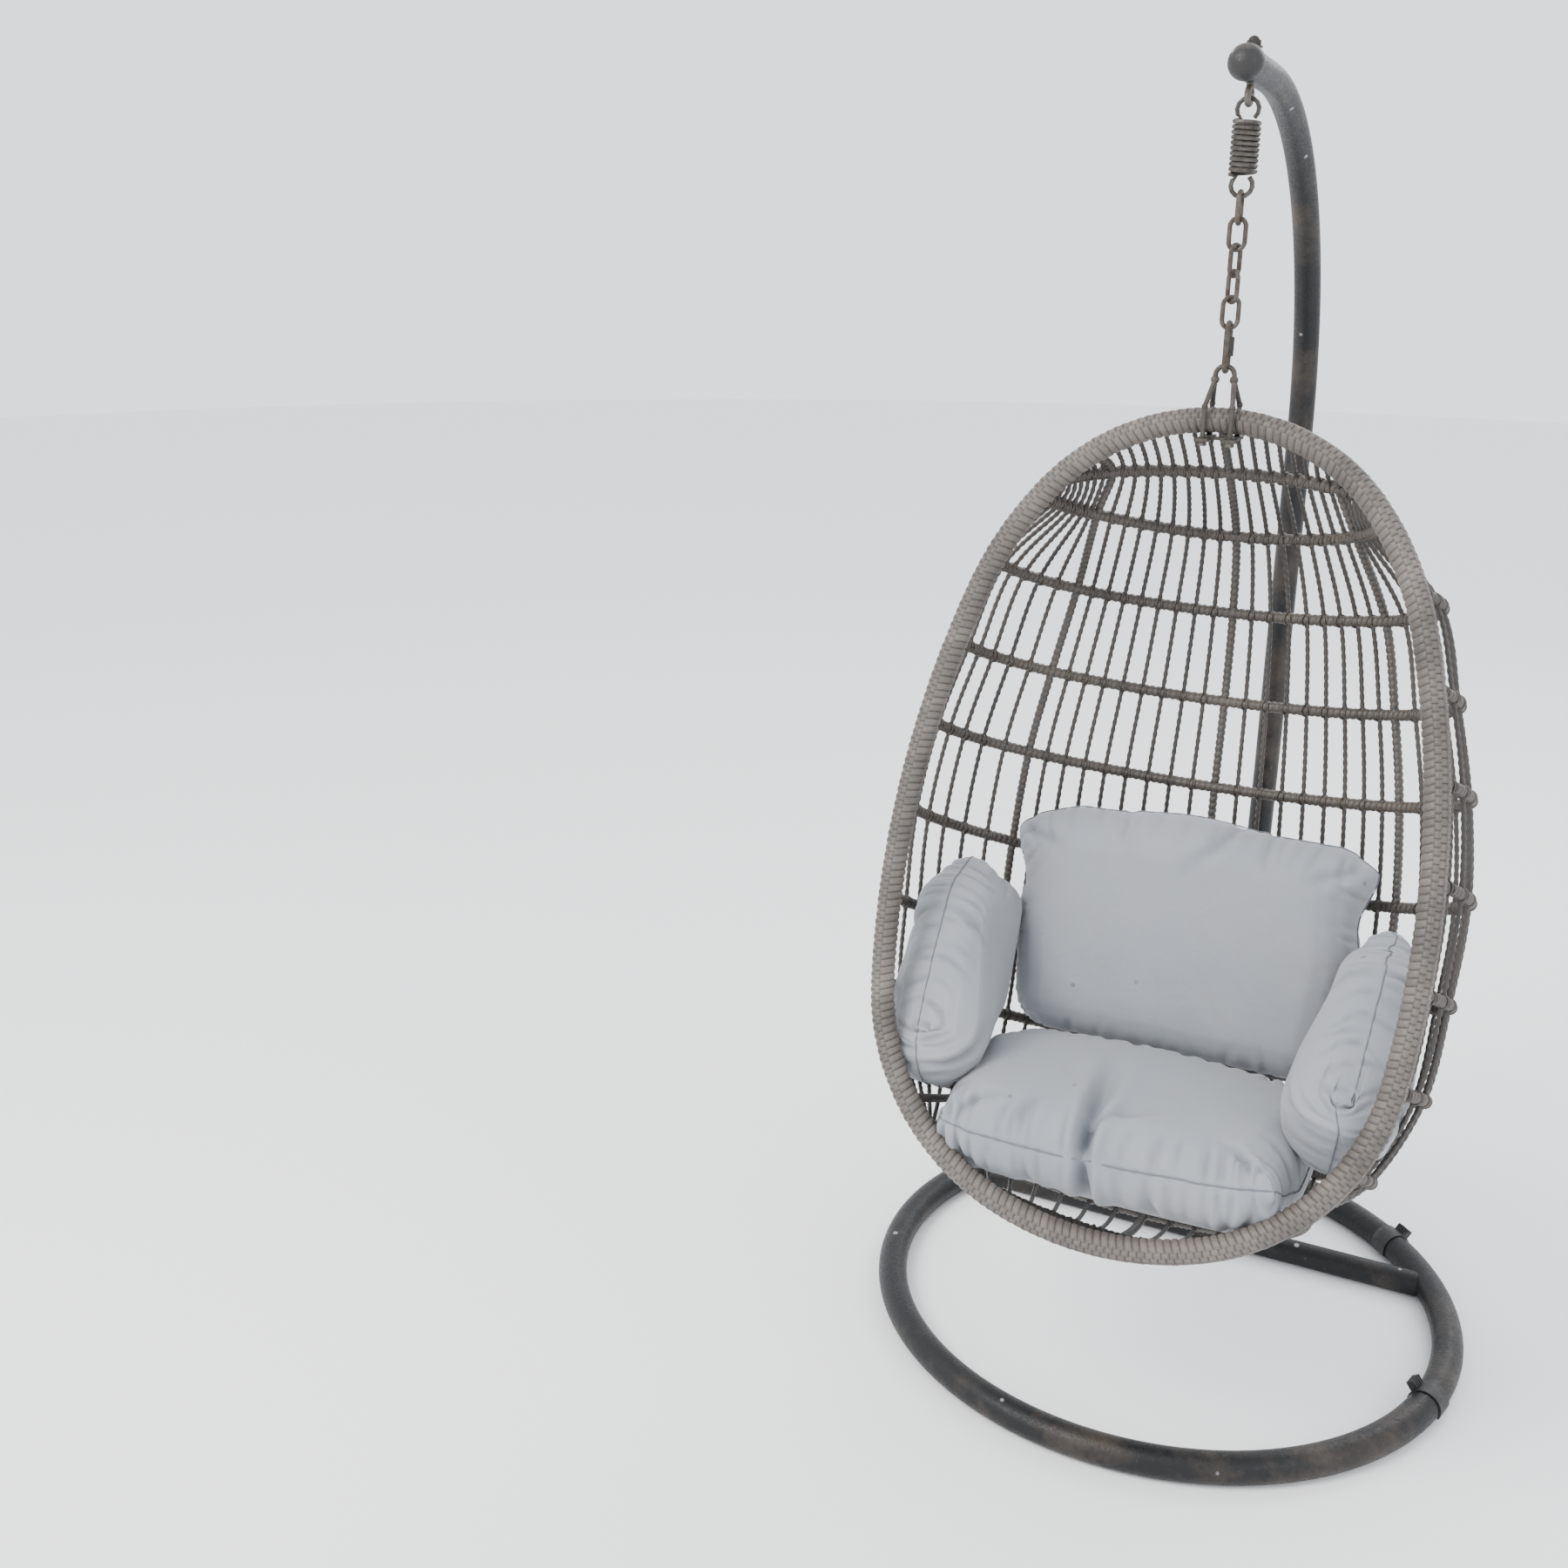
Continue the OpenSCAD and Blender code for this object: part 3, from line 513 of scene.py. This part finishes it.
def make_rim(mat, rng):
    """Strips wound round the tube, in bands that step past each other towards the outer side."""
    ring = rim_ring()
    a = np.linspace(-np.pi, np.pi, RIM_SIDES, endpoint=False)
    out_n = np.stack([ring[:, 2], np.zeros(len(ring)), ring[:, 3]], 1)
    back = np.array([0.0, 1.0, 0.0])
    deg = np.degrees(a)
    band = np.clip(np.searchsorted(BANDS, deg) - 1, 0, len(BANDS) - 2)
    lo, hi = BANDS[band], BANDS[band + 1]
    along = np.arange(len(ring)) / RINGS_EACH
    jitter = rng.uniform(-0.12, 0.12, RIM_WRAPS * 2)
    slant = np.where(band == 0, (deg - BANDS[1]) / 190, 0)
    phase = along[:, None] + np.where(band % 2 == 1, 0.5, 0.0)[None, :] + slant[None, :]
    cell = np.floor(phase).astype(int) % (RIM_WRAPS * 2)
    f = phase - np.floor(phase)
    hump = np.clip(1 - np.abs(2 * f - 1) ** 3.2, 0, 1)
    across = (deg - lo) / (hi - lo)
    edge = np.where(band == len(BANDS) - 2, 1.0, np.clip(1 - np.abs(2 * across - 1) ** 4, 0, 1))
    wound = np.where(band == 0, np.clip((deg - BANDS[1]) / -6, 0, 1), edge)
    lift = hump * wound[None, :]
    in_plait = (deg > BANDS[1]) & (deg < BANDS[5])
    r = RIM_BARE + np.where(in_plait, BAND_LIFT, 0)[None, :] + WRAP_LIFT * (1 + jitter[cell]) * lift
    v = np.stack([ring[:, 0], np.zeros(len(ring)), ring[:, 1]], 1)[:, None, :] + r[..., None] * (
        np.cos(a)[None, :, None] * out_n[:, None, :] + np.sin(a)[None, :, None] * back
    )
    i = np.arange(len(ring))[:, None] * RIM_SIDES
    k = np.arange(RIM_SIDES)[None, :]
    j = ((np.arange(len(ring)) + 1) % len(ring))[:, None] * RIM_SIDES
    k2 = (k + 1) % RIM_SIDES
    faces = np.stack([i + k, i + k2, j + k2, j + k], -1).reshape(-1, 4)
    shade = rng.uniform(-0.1, 0.1, RIM_WRAPS * 2)[(cell + 5) % (RIM_WRAPS * 2)]
    tone = np.clip(0.35 + 1.6 * jitter[cell] + shade, 0, 1)
    # ridge is each wrap's lift, so the wicker material paints shade in the gaps between wraps.
    look = {"ridge": lift.ravel(), "tone": tone.ravel(), "strip": f.ravel()}
    rim = mesh_object("rim_wicker", to_world(v.reshape(-1, 3)), faces, mat, look)
    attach(rim, "basket")
    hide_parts("rim_wrap", "rim_braid")


def wound_strip(pitch, turn, lean, power, bare, lift):
    """The radius of a rod wound with one strip, for tube()."""

    def radius(s, ang):
        w = (s / pitch + lean * ang / (2 * np.pi) + turn) % 1.0
        h = np.clip(1 - np.abs(2 * w - 1) ** power, 0, 1)
        # h is also the ridge value, so the wicker material paints shade in the gaps between the strip's turns.
        return bare + lift * h, h

    return radius


def make_rungs(mat, rng):
    """The eleven rungs, each wound with a strip."""
    pile = Pile()
    for q in range(len(RUNGS)):
        end = RUNGS[q][3]
        p = to_world(np.array([rung_point(q, d) for d in np.linspace(-end, end, 90)]))
        strip = wound_strip(0.0095, rng.uniform(0, 6), 1, 2.6, 0.0068, 0.0020)
        tube(pile, even(p, 0.0016), 16, strip, tone=rng.uniform(0.3, 0.6))
    o = pile.make("rung_wicker", mat)
    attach(o, "basket")
    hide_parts("weave_inner_left", "weave_inner_right", "weave_outer_left", "weave_outer_right")


def make_ribs(mat):
    """The middle rib and the two side ribs."""
    start, foot = 0.172, 1.030  # where a side rib leaves the rim's top, and the drop where it ends
    middle = [np.zeros(3)] + [rung_point(q, 0) for q in range(11)] + [np.array([0, 0, -RIM_LOW])]
    side = (
        [np.array([start, 0, -top_drop(start)])]
        + [rung_point(q, RUNGS[q][4]) for q in range(9)]
        + [np.array([half_width(foot), 0, -foot])]
    )
    mirror = [p * np.array([-1, 1, 1]) for p in side]
    for name, pts in (("middle_rib", middle), ("right_rib", side), ("left_rib", mirror)):
        pile = Pile()
        strip = wound_strip(0.0105, 0, -1, 2.4, 0.0050, 0.0017)
        tube(pile, smooth_route(to_world(np.array(pts)), 0.0018), 14, strip, tone=0.45)
        o = pile.make(name + "_wicker", mat)
        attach(o, "basket")
        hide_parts(name)


def rung_direction(q, point):
    """The direction of rung q where it passes the point, in the world."""
    end = RUNGS[q][3]
    reach = (half_width(RUNGS[q][0] / 1000) - 0.006) / math.sin(math.radians(end))
    ang = math.degrees(math.asin(np.clip(point[0] / reach, -1, 1)))
    # past 90 degrees the rung turns back, so two angles give the same x
    near, here = 9.0, ang
    for other in (ang, 180 - ang if ang > 0 else -180 - ang):
        if abs(other) <= end + 1:
            gap = np.linalg.norm(rung_point(q, other) - point)
            if gap < near:
                near, here = gap, other
    d = to_world(rung_point(q, min(end, here + 1.0)))[0] - to_world(rung_point(q, max(-end, here - 1.0)))[0]
    return d / np.linalg.norm(d)


def add_knot(pile, rng, here, along, up):
    """Two loops of cord round the rung that lean opposite ways, so that they make a V."""
    size, cord, lean_by, part = 0.0089, 0.0019, 0.0042, 0.0006
    out = np.cross(along, up)
    th = np.linspace(0, 2 * np.pi, 15)
    for lean in (-1, 1):
        loop = (
            here
            + np.outer(np.cos(th) * size, out)
            + np.outer(np.sin(th) * size, up)
            + np.outer(lean * lean_by * np.cos(th) + part * lean, along)
        )

        def plain(s, ang):
            return cord + 0 * s + 0 * ang, 0.75 + 0 * s + 0 * ang

        tone = rng.uniform(0.2, 0.7)
        tube(pile, even(loop, 0.0034), 6, plain, first=along + 0.1 * up, tone=tone, close_ends=False)


def make_strands(mats, rng):
    """The strands, twisted like cord, and the knots that tie them to the rungs."""
    strands, knots = Pile(), Pile()
    for pts in strand_routes():
        world = to_world(np.array(pts))
        tw = rng.uniform(0, 6)
        sign = 1 if rng.uniform() > 0.5 else -1

        def twisted(s, ang, tw=tw, sign=sign):
            w = np.cos(2 * ang + sign * 2 * np.pi * s / 0.0125 + tw)
            # The ridge value is low in the twist's grooves, where the wicker material paints shade.
            return 0.00330 + 0.00055 * w, 0.3 + 0.7 * (0.5 + 0.5 * w)

        tube(strands, smooth_route(world, 0.0023), 8, twisted, tone=rng.uniform(0.35, 0.9))
        crossings = min(len(world) - 1, 12) if len(world) > 11 else len(world)
        for c in range(1, crossings):
            up = world[c - 1] - world[min(c + 1, len(world) - 1)]
            up /= np.linalg.norm(up)
            add_knot(knots, rng, world[c], rung_direction(c - 1, pts[c]), up)
    for pile, name, mat in ((strands, "strands", mats["strand"]), (knots, "strand_knots", mats["rung"])):
        o = pile.make(name, mat)
        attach(o, "basket")


def make_basket(mats):
    rng = np.random.default_rng(7)
    make_rim(mats["rim"], rng)
    make_rungs(mats["rung"], rng)
    make_ribs(mats["rung"])
    make_strands(mats, rng)


# ---------------------------------------------------------------- cushions
PRESSURE, SHRINK, LAST_FRAME = 4.0, 0.03, 20  # the cloth simulation's own settings
MOST_SWELL = 0.018  # the furthest that the cloth simulation may move a point
PROUD = 0.006  # how far the cloth may stand outside the CAD cushion


def spread(n):
    """Values from -1 to 1 that crowd together at both ends."""
    t = np.linspace(-1, 1, n + 1)
    return np.sin(t * 1.25) / math.sin(1.25)


def pillow_mesh(wide, tall, thick, n, roll):
    """Two sheets sewn round their edge, in the XY plane, with full round edges and pointed corners."""
    nx, ny = n, int(n * tall / wide / 2) * 2
    gx, gy = np.meshgrid(spread(nx), spread(ny), indexing="ij")

    def rise(g, size):
        e = np.clip((1 - np.abs(g)) * size / 2 / roll, 0, 1)
        return np.sqrt(1 - (1 - e) ** 2)

    h = thick / 2 * rise(gx, wide) * rise(gy, tall) * (1 - 0.10 * gx**2 - 0.10 * gy**2)
    px = gx * wide / 2 * (1 - 0.035 * (1 - gy**2))
    py = gy * tall / 2 * (1 - 0.035 * (1 - gx**2))
    count = (nx + 1) * (ny + 1)
    ids = np.arange(count).reshape(nx + 1, ny + 1)
    low = ids.copy()
    low[1:-1, 1:-1] = count + np.arange((nx - 1) * (ny - 1)).reshape(nx - 1, ny - 1)
    verts = np.vstack(
        [
            np.stack([px, py, h], -1).reshape(-1, 3),
            np.stack([px, py, -h], -1)[1:-1, 1:-1].reshape(-1, 3),
        ]
    )

    def quads(q):
        return np.stack([q[:-1, :-1], q[1:, :-1], q[1:, 1:], q[:-1, 1:]], -1).reshape(-1, 4)

    faces = np.vstack([quads(ids), quads(low)[:, ::-1]])
    seam = list(ids[:-1, 0]) + list(ids[-1, :-1]) + list(ids[:0:-1, -1]) + list(ids[0, :0:-1])
    upper = np.where(rise(gx, wide) * rise(gy, tall) > 0, 1.0, 0.0)
    side = np.r_[upper.ravel(), -np.ones((nx - 1) * (ny - 1))]
    return verts, faces, seam, side


def simulate(o):
    """Where the cloth's points end up once the sheets are blown up."""
    scene = bpy.context.scene
    mod = o.modifiers.new("cloth", "CLOTH")
    cs = mod.settings
    cs.quality = 6
    cs.mass = 0.25
    cs.tension_stiffness = 25
    cs.compression_stiffness = 12
    cs.shear_stiffness = 8
    cs.bending_stiffness = 0.35
    cs.air_damping = 2
    cs.use_pressure = True
    cs.uniform_pressure_force = PRESSURE
    cs.shrink_min = SHRINK
    cs.effector_weights.gravity = 0
    mod.point_cache.frame_start = 1
    mod.point_cache.frame_end = LAST_FRAME
    for f in range(1, LAST_FRAME + 1):
        scene.frame_set(f)
    ev = o.evaluated_get(bpy.context.evaluated_depsgraph_get())
    co = np.empty(len(ev.data.vertices) * 3)
    ev.data.vertices.foreach_get("co", co)
    o.modifiers.remove(mod)
    scene.frame_set(1)
    return co.reshape(-1, 3)


def smooth_noise(p, seed, size):
    """Smooth noise from a few fixed sine waves."""
    rng = np.random.default_rng(seed)
    out = np.zeros(len(p))
    for _ in range(10):
        d = rng.normal(size=3)
        d /= np.linalg.norm(d)
        out += np.sin(p @ d * (2 * np.pi / size) * rng.uniform(0.6, 1.6) + rng.uniform(0, 6.28))
    return out / 10**0.5


def smoothstep(v):
    v = np.clip(v, 0, 1)
    return v * v * (3 - 2 * v)


def seam_folds(wide, tall, seed, deep):
    """Short tucks that run in from the seam, on both sheets."""
    rng = np.random.default_rng(seed)
    # each edge: its length, the direction inward, and its middle and direction along
    edges = (
        (wide, 90, (0, -tall / 2), (1, 0)),
        (tall, 180, (wide / 2, 0), (0, 1)),
        (wide, -90, (0, tall / 2), (1, 0)),
        (tall, 0, (-wide / 2, 0), (0, 1)),
    )
    out = []
    for side in (1, -1):
        for span, inward, middle, run in edges:
            at = -span / 2 + rng.uniform(0.01, 0.03)
            while at < span / 2 - 0.012:
                x, y = middle[0] + at * run[0], middle[1] + at * run[1]
                near = abs(at) / (span / 2)
                deg = inward + rng.uniform(-28, 28)
                length = rng.uniform(0.035, 0.075) + 0.04 * near * rng.uniform(0, 1)
                width, depth = rng.uniform(0.0035, 0.0065), deep * rng.uniform(0.5, 1.1)
                out.append((side, x * 0.985, y * 0.985, deg, length, width, depth, rng.uniform(-3, 3)))
                at += rng.uniform(0.016, 0.052)
    return out


def press_folds(p, side, folds):
    """How far each point is pushed in by the folds, and how deep in a crease it lies, for painted shade in the
    creases.
    """
    push, crease = np.zeros(len(p)), np.zeros(len(p))
    for which, x, y, deg, length, width, depth, bow in folds:
        d = np.array([math.cos(math.radians(deg)), math.sin(math.radians(deg))])
        q = p[:, :2] - [x, y]
        along = q @ d
        off = q @ [-d[1], d[0]] + bow * along**2
        w = width * (0.8 + 0.7 * np.clip(along / length, 0, 1))
        fade = smoothstep(1 - along / length) * smoothstep((along + 0.008) / 0.012)
        use = fade if which == 0 else np.where(side == which, fade, 0)
        valley = np.exp(-((off / w) ** 2))
        banks = np.exp(-(((np.abs(off) - 2.2 * w) / (1.2 * w)) ** 2))
        push += depth * use * (valley - 0.38 * banks)
        crease += use * np.exp(-((off / (0.8 * w)) ** 2)) * min(1, depth / 0.006)
    return push, np.clip(crease, 0, 1)


def relax(p, faces, fixed, times):
    """Evens out the surface by moving each point towards the mean of its neighbours."""
    pairs = np.vstack([faces[:, [k, (k + 1) % 4]] for k in range(4)])
    pairs = np.vstack([pairs, pairs[:, ::-1]])
    count = np.bincount(pairs[:, 0], minlength=len(p))[:, None]
    for _ in range(times):
        mean = np.stack([np.bincount(pairs[:, 0], p[pairs[:, 1], k], len(p)) for k in range(3)], 1) / count
        p = np.where(fixed[:, None], 0.9 * p + 0.1 * mean, 0.5 * p + 0.5 * mean)
    return p


def outward(p, faces):
    """The unit normal at each point, from the faces round it."""
    n = np.cross(p[faces[:, 2]] - p[faces[:, 0]], p[faces[:, 3]] - p[faces[:, 1]])
    out = np.zeros_like(p)
    for k in range(4):
        np.add.at(out, faces[:, k], n)
    return out / np.linalg.norm(out, axis=1)[:, None]


def hold_inside(p, node, slack):
    """Brings points that stick out of the CAD cushion back to within slack of it."""
    me = frame["nodes"][node].data
    n = np.array([f.normal for f in me.polygons])
    c = np.array([f.center for f in me.polygons])
    d = (n * c).sum(1)
    q = p.copy()
    for _ in range(4):
        over = q @ n.T - d
        k = over.argmax(1)
        extra = np.maximum(0, over[np.arange(len(q)), k] - slack)
        q -= n[k] * extra[:, None]
    return q


def make_cushion(name, node, dims, n, roll, place, seed, folds, deep, warp=None, ears=()):
    """Makes a stuffed cushion in the place of its CAD solid.

    Each fold is (sheet or 0 for both, x, y, direction, length, width, depth, bow). Each ear lets the cloth
    stand further out of the CAD solid round one place: (x, y in half sizes, how far, reach).
    """
    wide, tall, thick = dims
    verts, faces, seam, side = pillow_mesh(wide, tall, thick, n, roll)
    o = mesh_object(name, verts, faces, MATS["cloth"])
    moved = simulate(o)
    step = moved - verts
    far = np.linalg.norm(step, axis=1)
    moved = verts + step * np.minimum(1, MOST_SWELL / np.maximum(far, 1e-9))[:, None]
    push, crease = press_folds(verts, side, folds + seam_folds(wide, tall, seed, deep))
    edge = np.minimum(wide / 2 - np.abs(verts[:, 0]), tall / 2 - np.abs(verts[:, 1]))
    lumps = smooth_noise(verts * [1, 1, 0] + [0, 0, 0.2] * side[:, None], seed + 3, 0.16)
    moved[:, 2] += side * (0.004 * lumps * smoothstep(edge / 0.06))
    if warp:
        moved = warp(moved, verts / [wide / 2, tall / 2, thick / 2])
    world, axes = place(moved)
    limit = np.full(len(world), PROUD)
    for ex, ey, amount, reach in ears:
        r = np.hypot(verts[:, 0] - ex * wide / 2, verts[:, 1] - ey * tall / 2)
        limit = np.maximum(limit, PROUD + amount * smoothstep(1 - r / reach))
    world = hold_inside(world, node, limit)
    on_seam = np.zeros(len(world), bool)
    on_seam[seam] = True
    world = relax(world, faces, on_seam, 8)
    world = world - push[:, None] * outward(world, faces)
    o.data.attributes.new("crease", "FLOAT", "POINT").data.foreach_set("value", crease)
    o.data.vertices.foreach_set("co", world.ravel())
    o.data.update()
    sub = o.modifiers.new("smooth", "SUBSURF")
    sub.levels = sub.render_levels = 1
    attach(o, "basket")
    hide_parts(node)
    pile = Pile()

    def welt(s, ang):
        return 0.0010 + 0.0002 * np.sin(2 * np.pi * s / 0.005) + 0 * ang, 1.0 + 0 * s + 0 * ang

    tube(pile, even(world[seam + [seam[0]]], 0.004), 5, welt, first=axes[2], close_ends=False)
    w = pile.make(name + "_seam", MATS["seam"])
    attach(w, "basket")


def placer(centre, across, up):
    """Puts a pillow's own X along across and its Y along up."""
    ax = np.array(across, float)
    ax /= np.linalg.norm(ax)
    ay = np.array(up, float)
    ay -= (ay @ ax) * ax
    ay /= np.linalg.norm(ay)
    m = np.stack([ax, ay, np.cross(ax, ay)], 0)

    def run(p):
        return p @ m + np.array(centre) + [0, MY, 0], m

    return run


def make_cushions():
    def back_warp(p, q):
        high = smoothstep((q[:, 1] + 1) / 2)
        p[:, 1] += (0.048 * (1 - q[:, 0] ** 2) - 0.036 * q[:, 0] ** 4) * high
        p[:, 2] += 0.022 * (q[:, 0] ** 2 - 0.4)
        return p

    def seat_warp(p, q):
        front, rear = np.clip(-q[:, 1], 0, 1), np.clip(q[:, 1], 0, 1)
        p[:, 2] += 0.078 * front**2 + 0.05 * rear**2 + 0.02 * q[:, 0] ** 2
        return p

    make_cushion(
        "back_pad", "back_cushion", (0.60, 0.395, 0.17), 90, 0.055,
        placer((0, -0.072, 0.675), (1, 0, 0.035), (0, 0.24, 1)), 3,
        [
            (1, 0.075, 0.19, -118, 0.16, 0.010, 0.009, 1.0),
            (-1, 0.075, 0.19, -118, 0.16, 0.010, 0.009, 1.0),
            (0, 0.27, 0.185, -140, 0.13, 0.009, 0.007, 0),
            (0, -0.27, 0.185, -38, 0.12, 0.009, 0.007, 0),
            (0, 0.13, 0.19, -100, 0.09, 0.008, 0.006, -2),
            (0, -0.10, 0.19, -75, 0.07, 0.008, 0.005, 2),
        ],
        0.0045, back_warp,
        ears=((-1, 1, 0.036, 0.1), (1, 1, 0.036, 0.1), (0, 1, 0.012, 0.15)),
    )
    make_cushion(
        "seat_pad", "seat_cushion", (0.56, 0.385, 0.25), 96, 0.08,
        placer((0, -0.325, 0.446), (1, 0, 0.045), (0, 1, 0.02)), 11,
        [
            (1, -0.022, -0.192, 86, 0.32, 0.012, 0.032, -0.5),
            (1, -0.022, -0.185, 60, 0.20, 0.011, 0.010, 1.5),
            (-1, -0.022, -0.192, 95, 0.13, 0.011, 0.026, 0),
            (0, -0.22, -0.18, 35, 0.12, 0.010, 0.010, 0),
            (0, 0.23, -0.18, 140, 0.11, 0.010, 0.011, 0),
            (1, -0.12, -0.18, 75, 0.10, 0.010, 0.008, 1),
            (-1, 0.08, -0.18, 80, 0.10, 0.009, 0.010, 0),
            (-1, -0.11, -0.18, 100, 0.09, 0.009, 0.009, 0),
        ],
        0.0060, seat_warp, ears=((-1, -1, 0.016, 0.09), (1, -1, 0.016, 0.09), (0, 1, 0.012, 0.3)),
    )
    for hand, name, node, seed, middle in (
        (1, "right_arm_pad", "right_arm_cushion", 21, (0.302, -0.245, 0.668)),
        (-1, "left_arm_pad", "left_arm_cushion", 35, (-0.292, -0.262, 0.636)),
    ):
        make_cushion(
            name, node, (0.41, 0.32, 0.21), 72, 0.07,
            placer(middle, (0.02 * hand, 0.78, 0.40), (0.10 * hand, -0.40, 0.78)), seed,
            [
                (0, -0.19, -0.10, 40, 0.13, 0.009, 0.009, 0),
                (0, -0.19, 0.02, 5, 0.12, 0.009, 0.008, 1),
                (0, 0.02, 0.15, -95, 0.11, 0.008, 0.007, 0),
                (0, -0.06, -0.15, 80, 0.10, 0.009, 0.009, 1),
            ],
            0.0060, None,
            ears=((1, 1, 0.024, 0.09), (-1, -1, 0.02, 0.09), (1, -1, 0.01, 0.09), (-0.55, 0.1, 0.02, 0.17)),
        )


# ---------------------------------------------------------------- build
make_camera()
make_stage()
MATS = {
    "rim": material_wicker("wicker_rim", (0.20, 0.168, 0.146), (0.092, 0.075, 0.064), (0.036, 0.029, 0.024)),
    "rung": material_wicker("wicker_rung", (0.10, 0.081, 0.065), (0.056, 0.045, 0.036), (0.027, 0.022, 0.018)),
    "strand": material_wicker("wicker_strand", (0.07, 0.057, 0.046), (0.04, 0.032, 0.026), (0.018, 0.015, 0.013)),
    "cloth": material_cloth("cushion_cloth"),
    "seam": material_plastic("seam_thread", (0.13, 0.145, 0.165), 0.9),
}
# What the CAD nodes that stay in view are made of, by material slot
SLOT_MATS = {
    "stand_paint": material_powder("stand_paint", (0.0055, 0.0057, 0.0064)),
    "clip_plastic": material_plastic("clip_plastic", (0.006, 0.006, 0.0065), 0.55),
    "cap_plastic": material_powder("cap_plastic", (0.022, 0.021, 0.021), 0.9),
    "fastener_zinc": material_steel("fastener_zinc", (0.16, 0.15, 0.135), (0.06, 0.045, 0.033), 0.5),
    "spring_steel": material_steel("spring_steel", (0.10, 0.095, 0.085), (0.035, 0.028, 0.022), 0.5, 0.3),
    "chain_steel": material_steel("chain_steel", (0.11, 0.10, 0.09), (0.05, 0.034, 0.024), 0.6),
    "dark_steel": material_steel("dark_steel", (0.03, 0.028, 0.026), (0.035, 0.026, 0.02), 0.5),
    "hanger_paint": material_steel("hanger_paint", (0.085, 0.078, 0.068), (0.045, 0.036, 0.028), 0.5),
    "frame_steel": material_powder("frame_steel", (0.03, 0.028, 0.026)),
}
slot_of = {s["node"]: s["material_slot"] for s in frame["record"]["subparts"]}
for node, obj in frame["nodes"].items():
    mat = SLOT_MATS.get(slot_of[node])
    if mat and obj.type == "MESH":
        for ms in obj.material_slots:
            ms.material = mat
make_basket(MATS)
make_cushions()
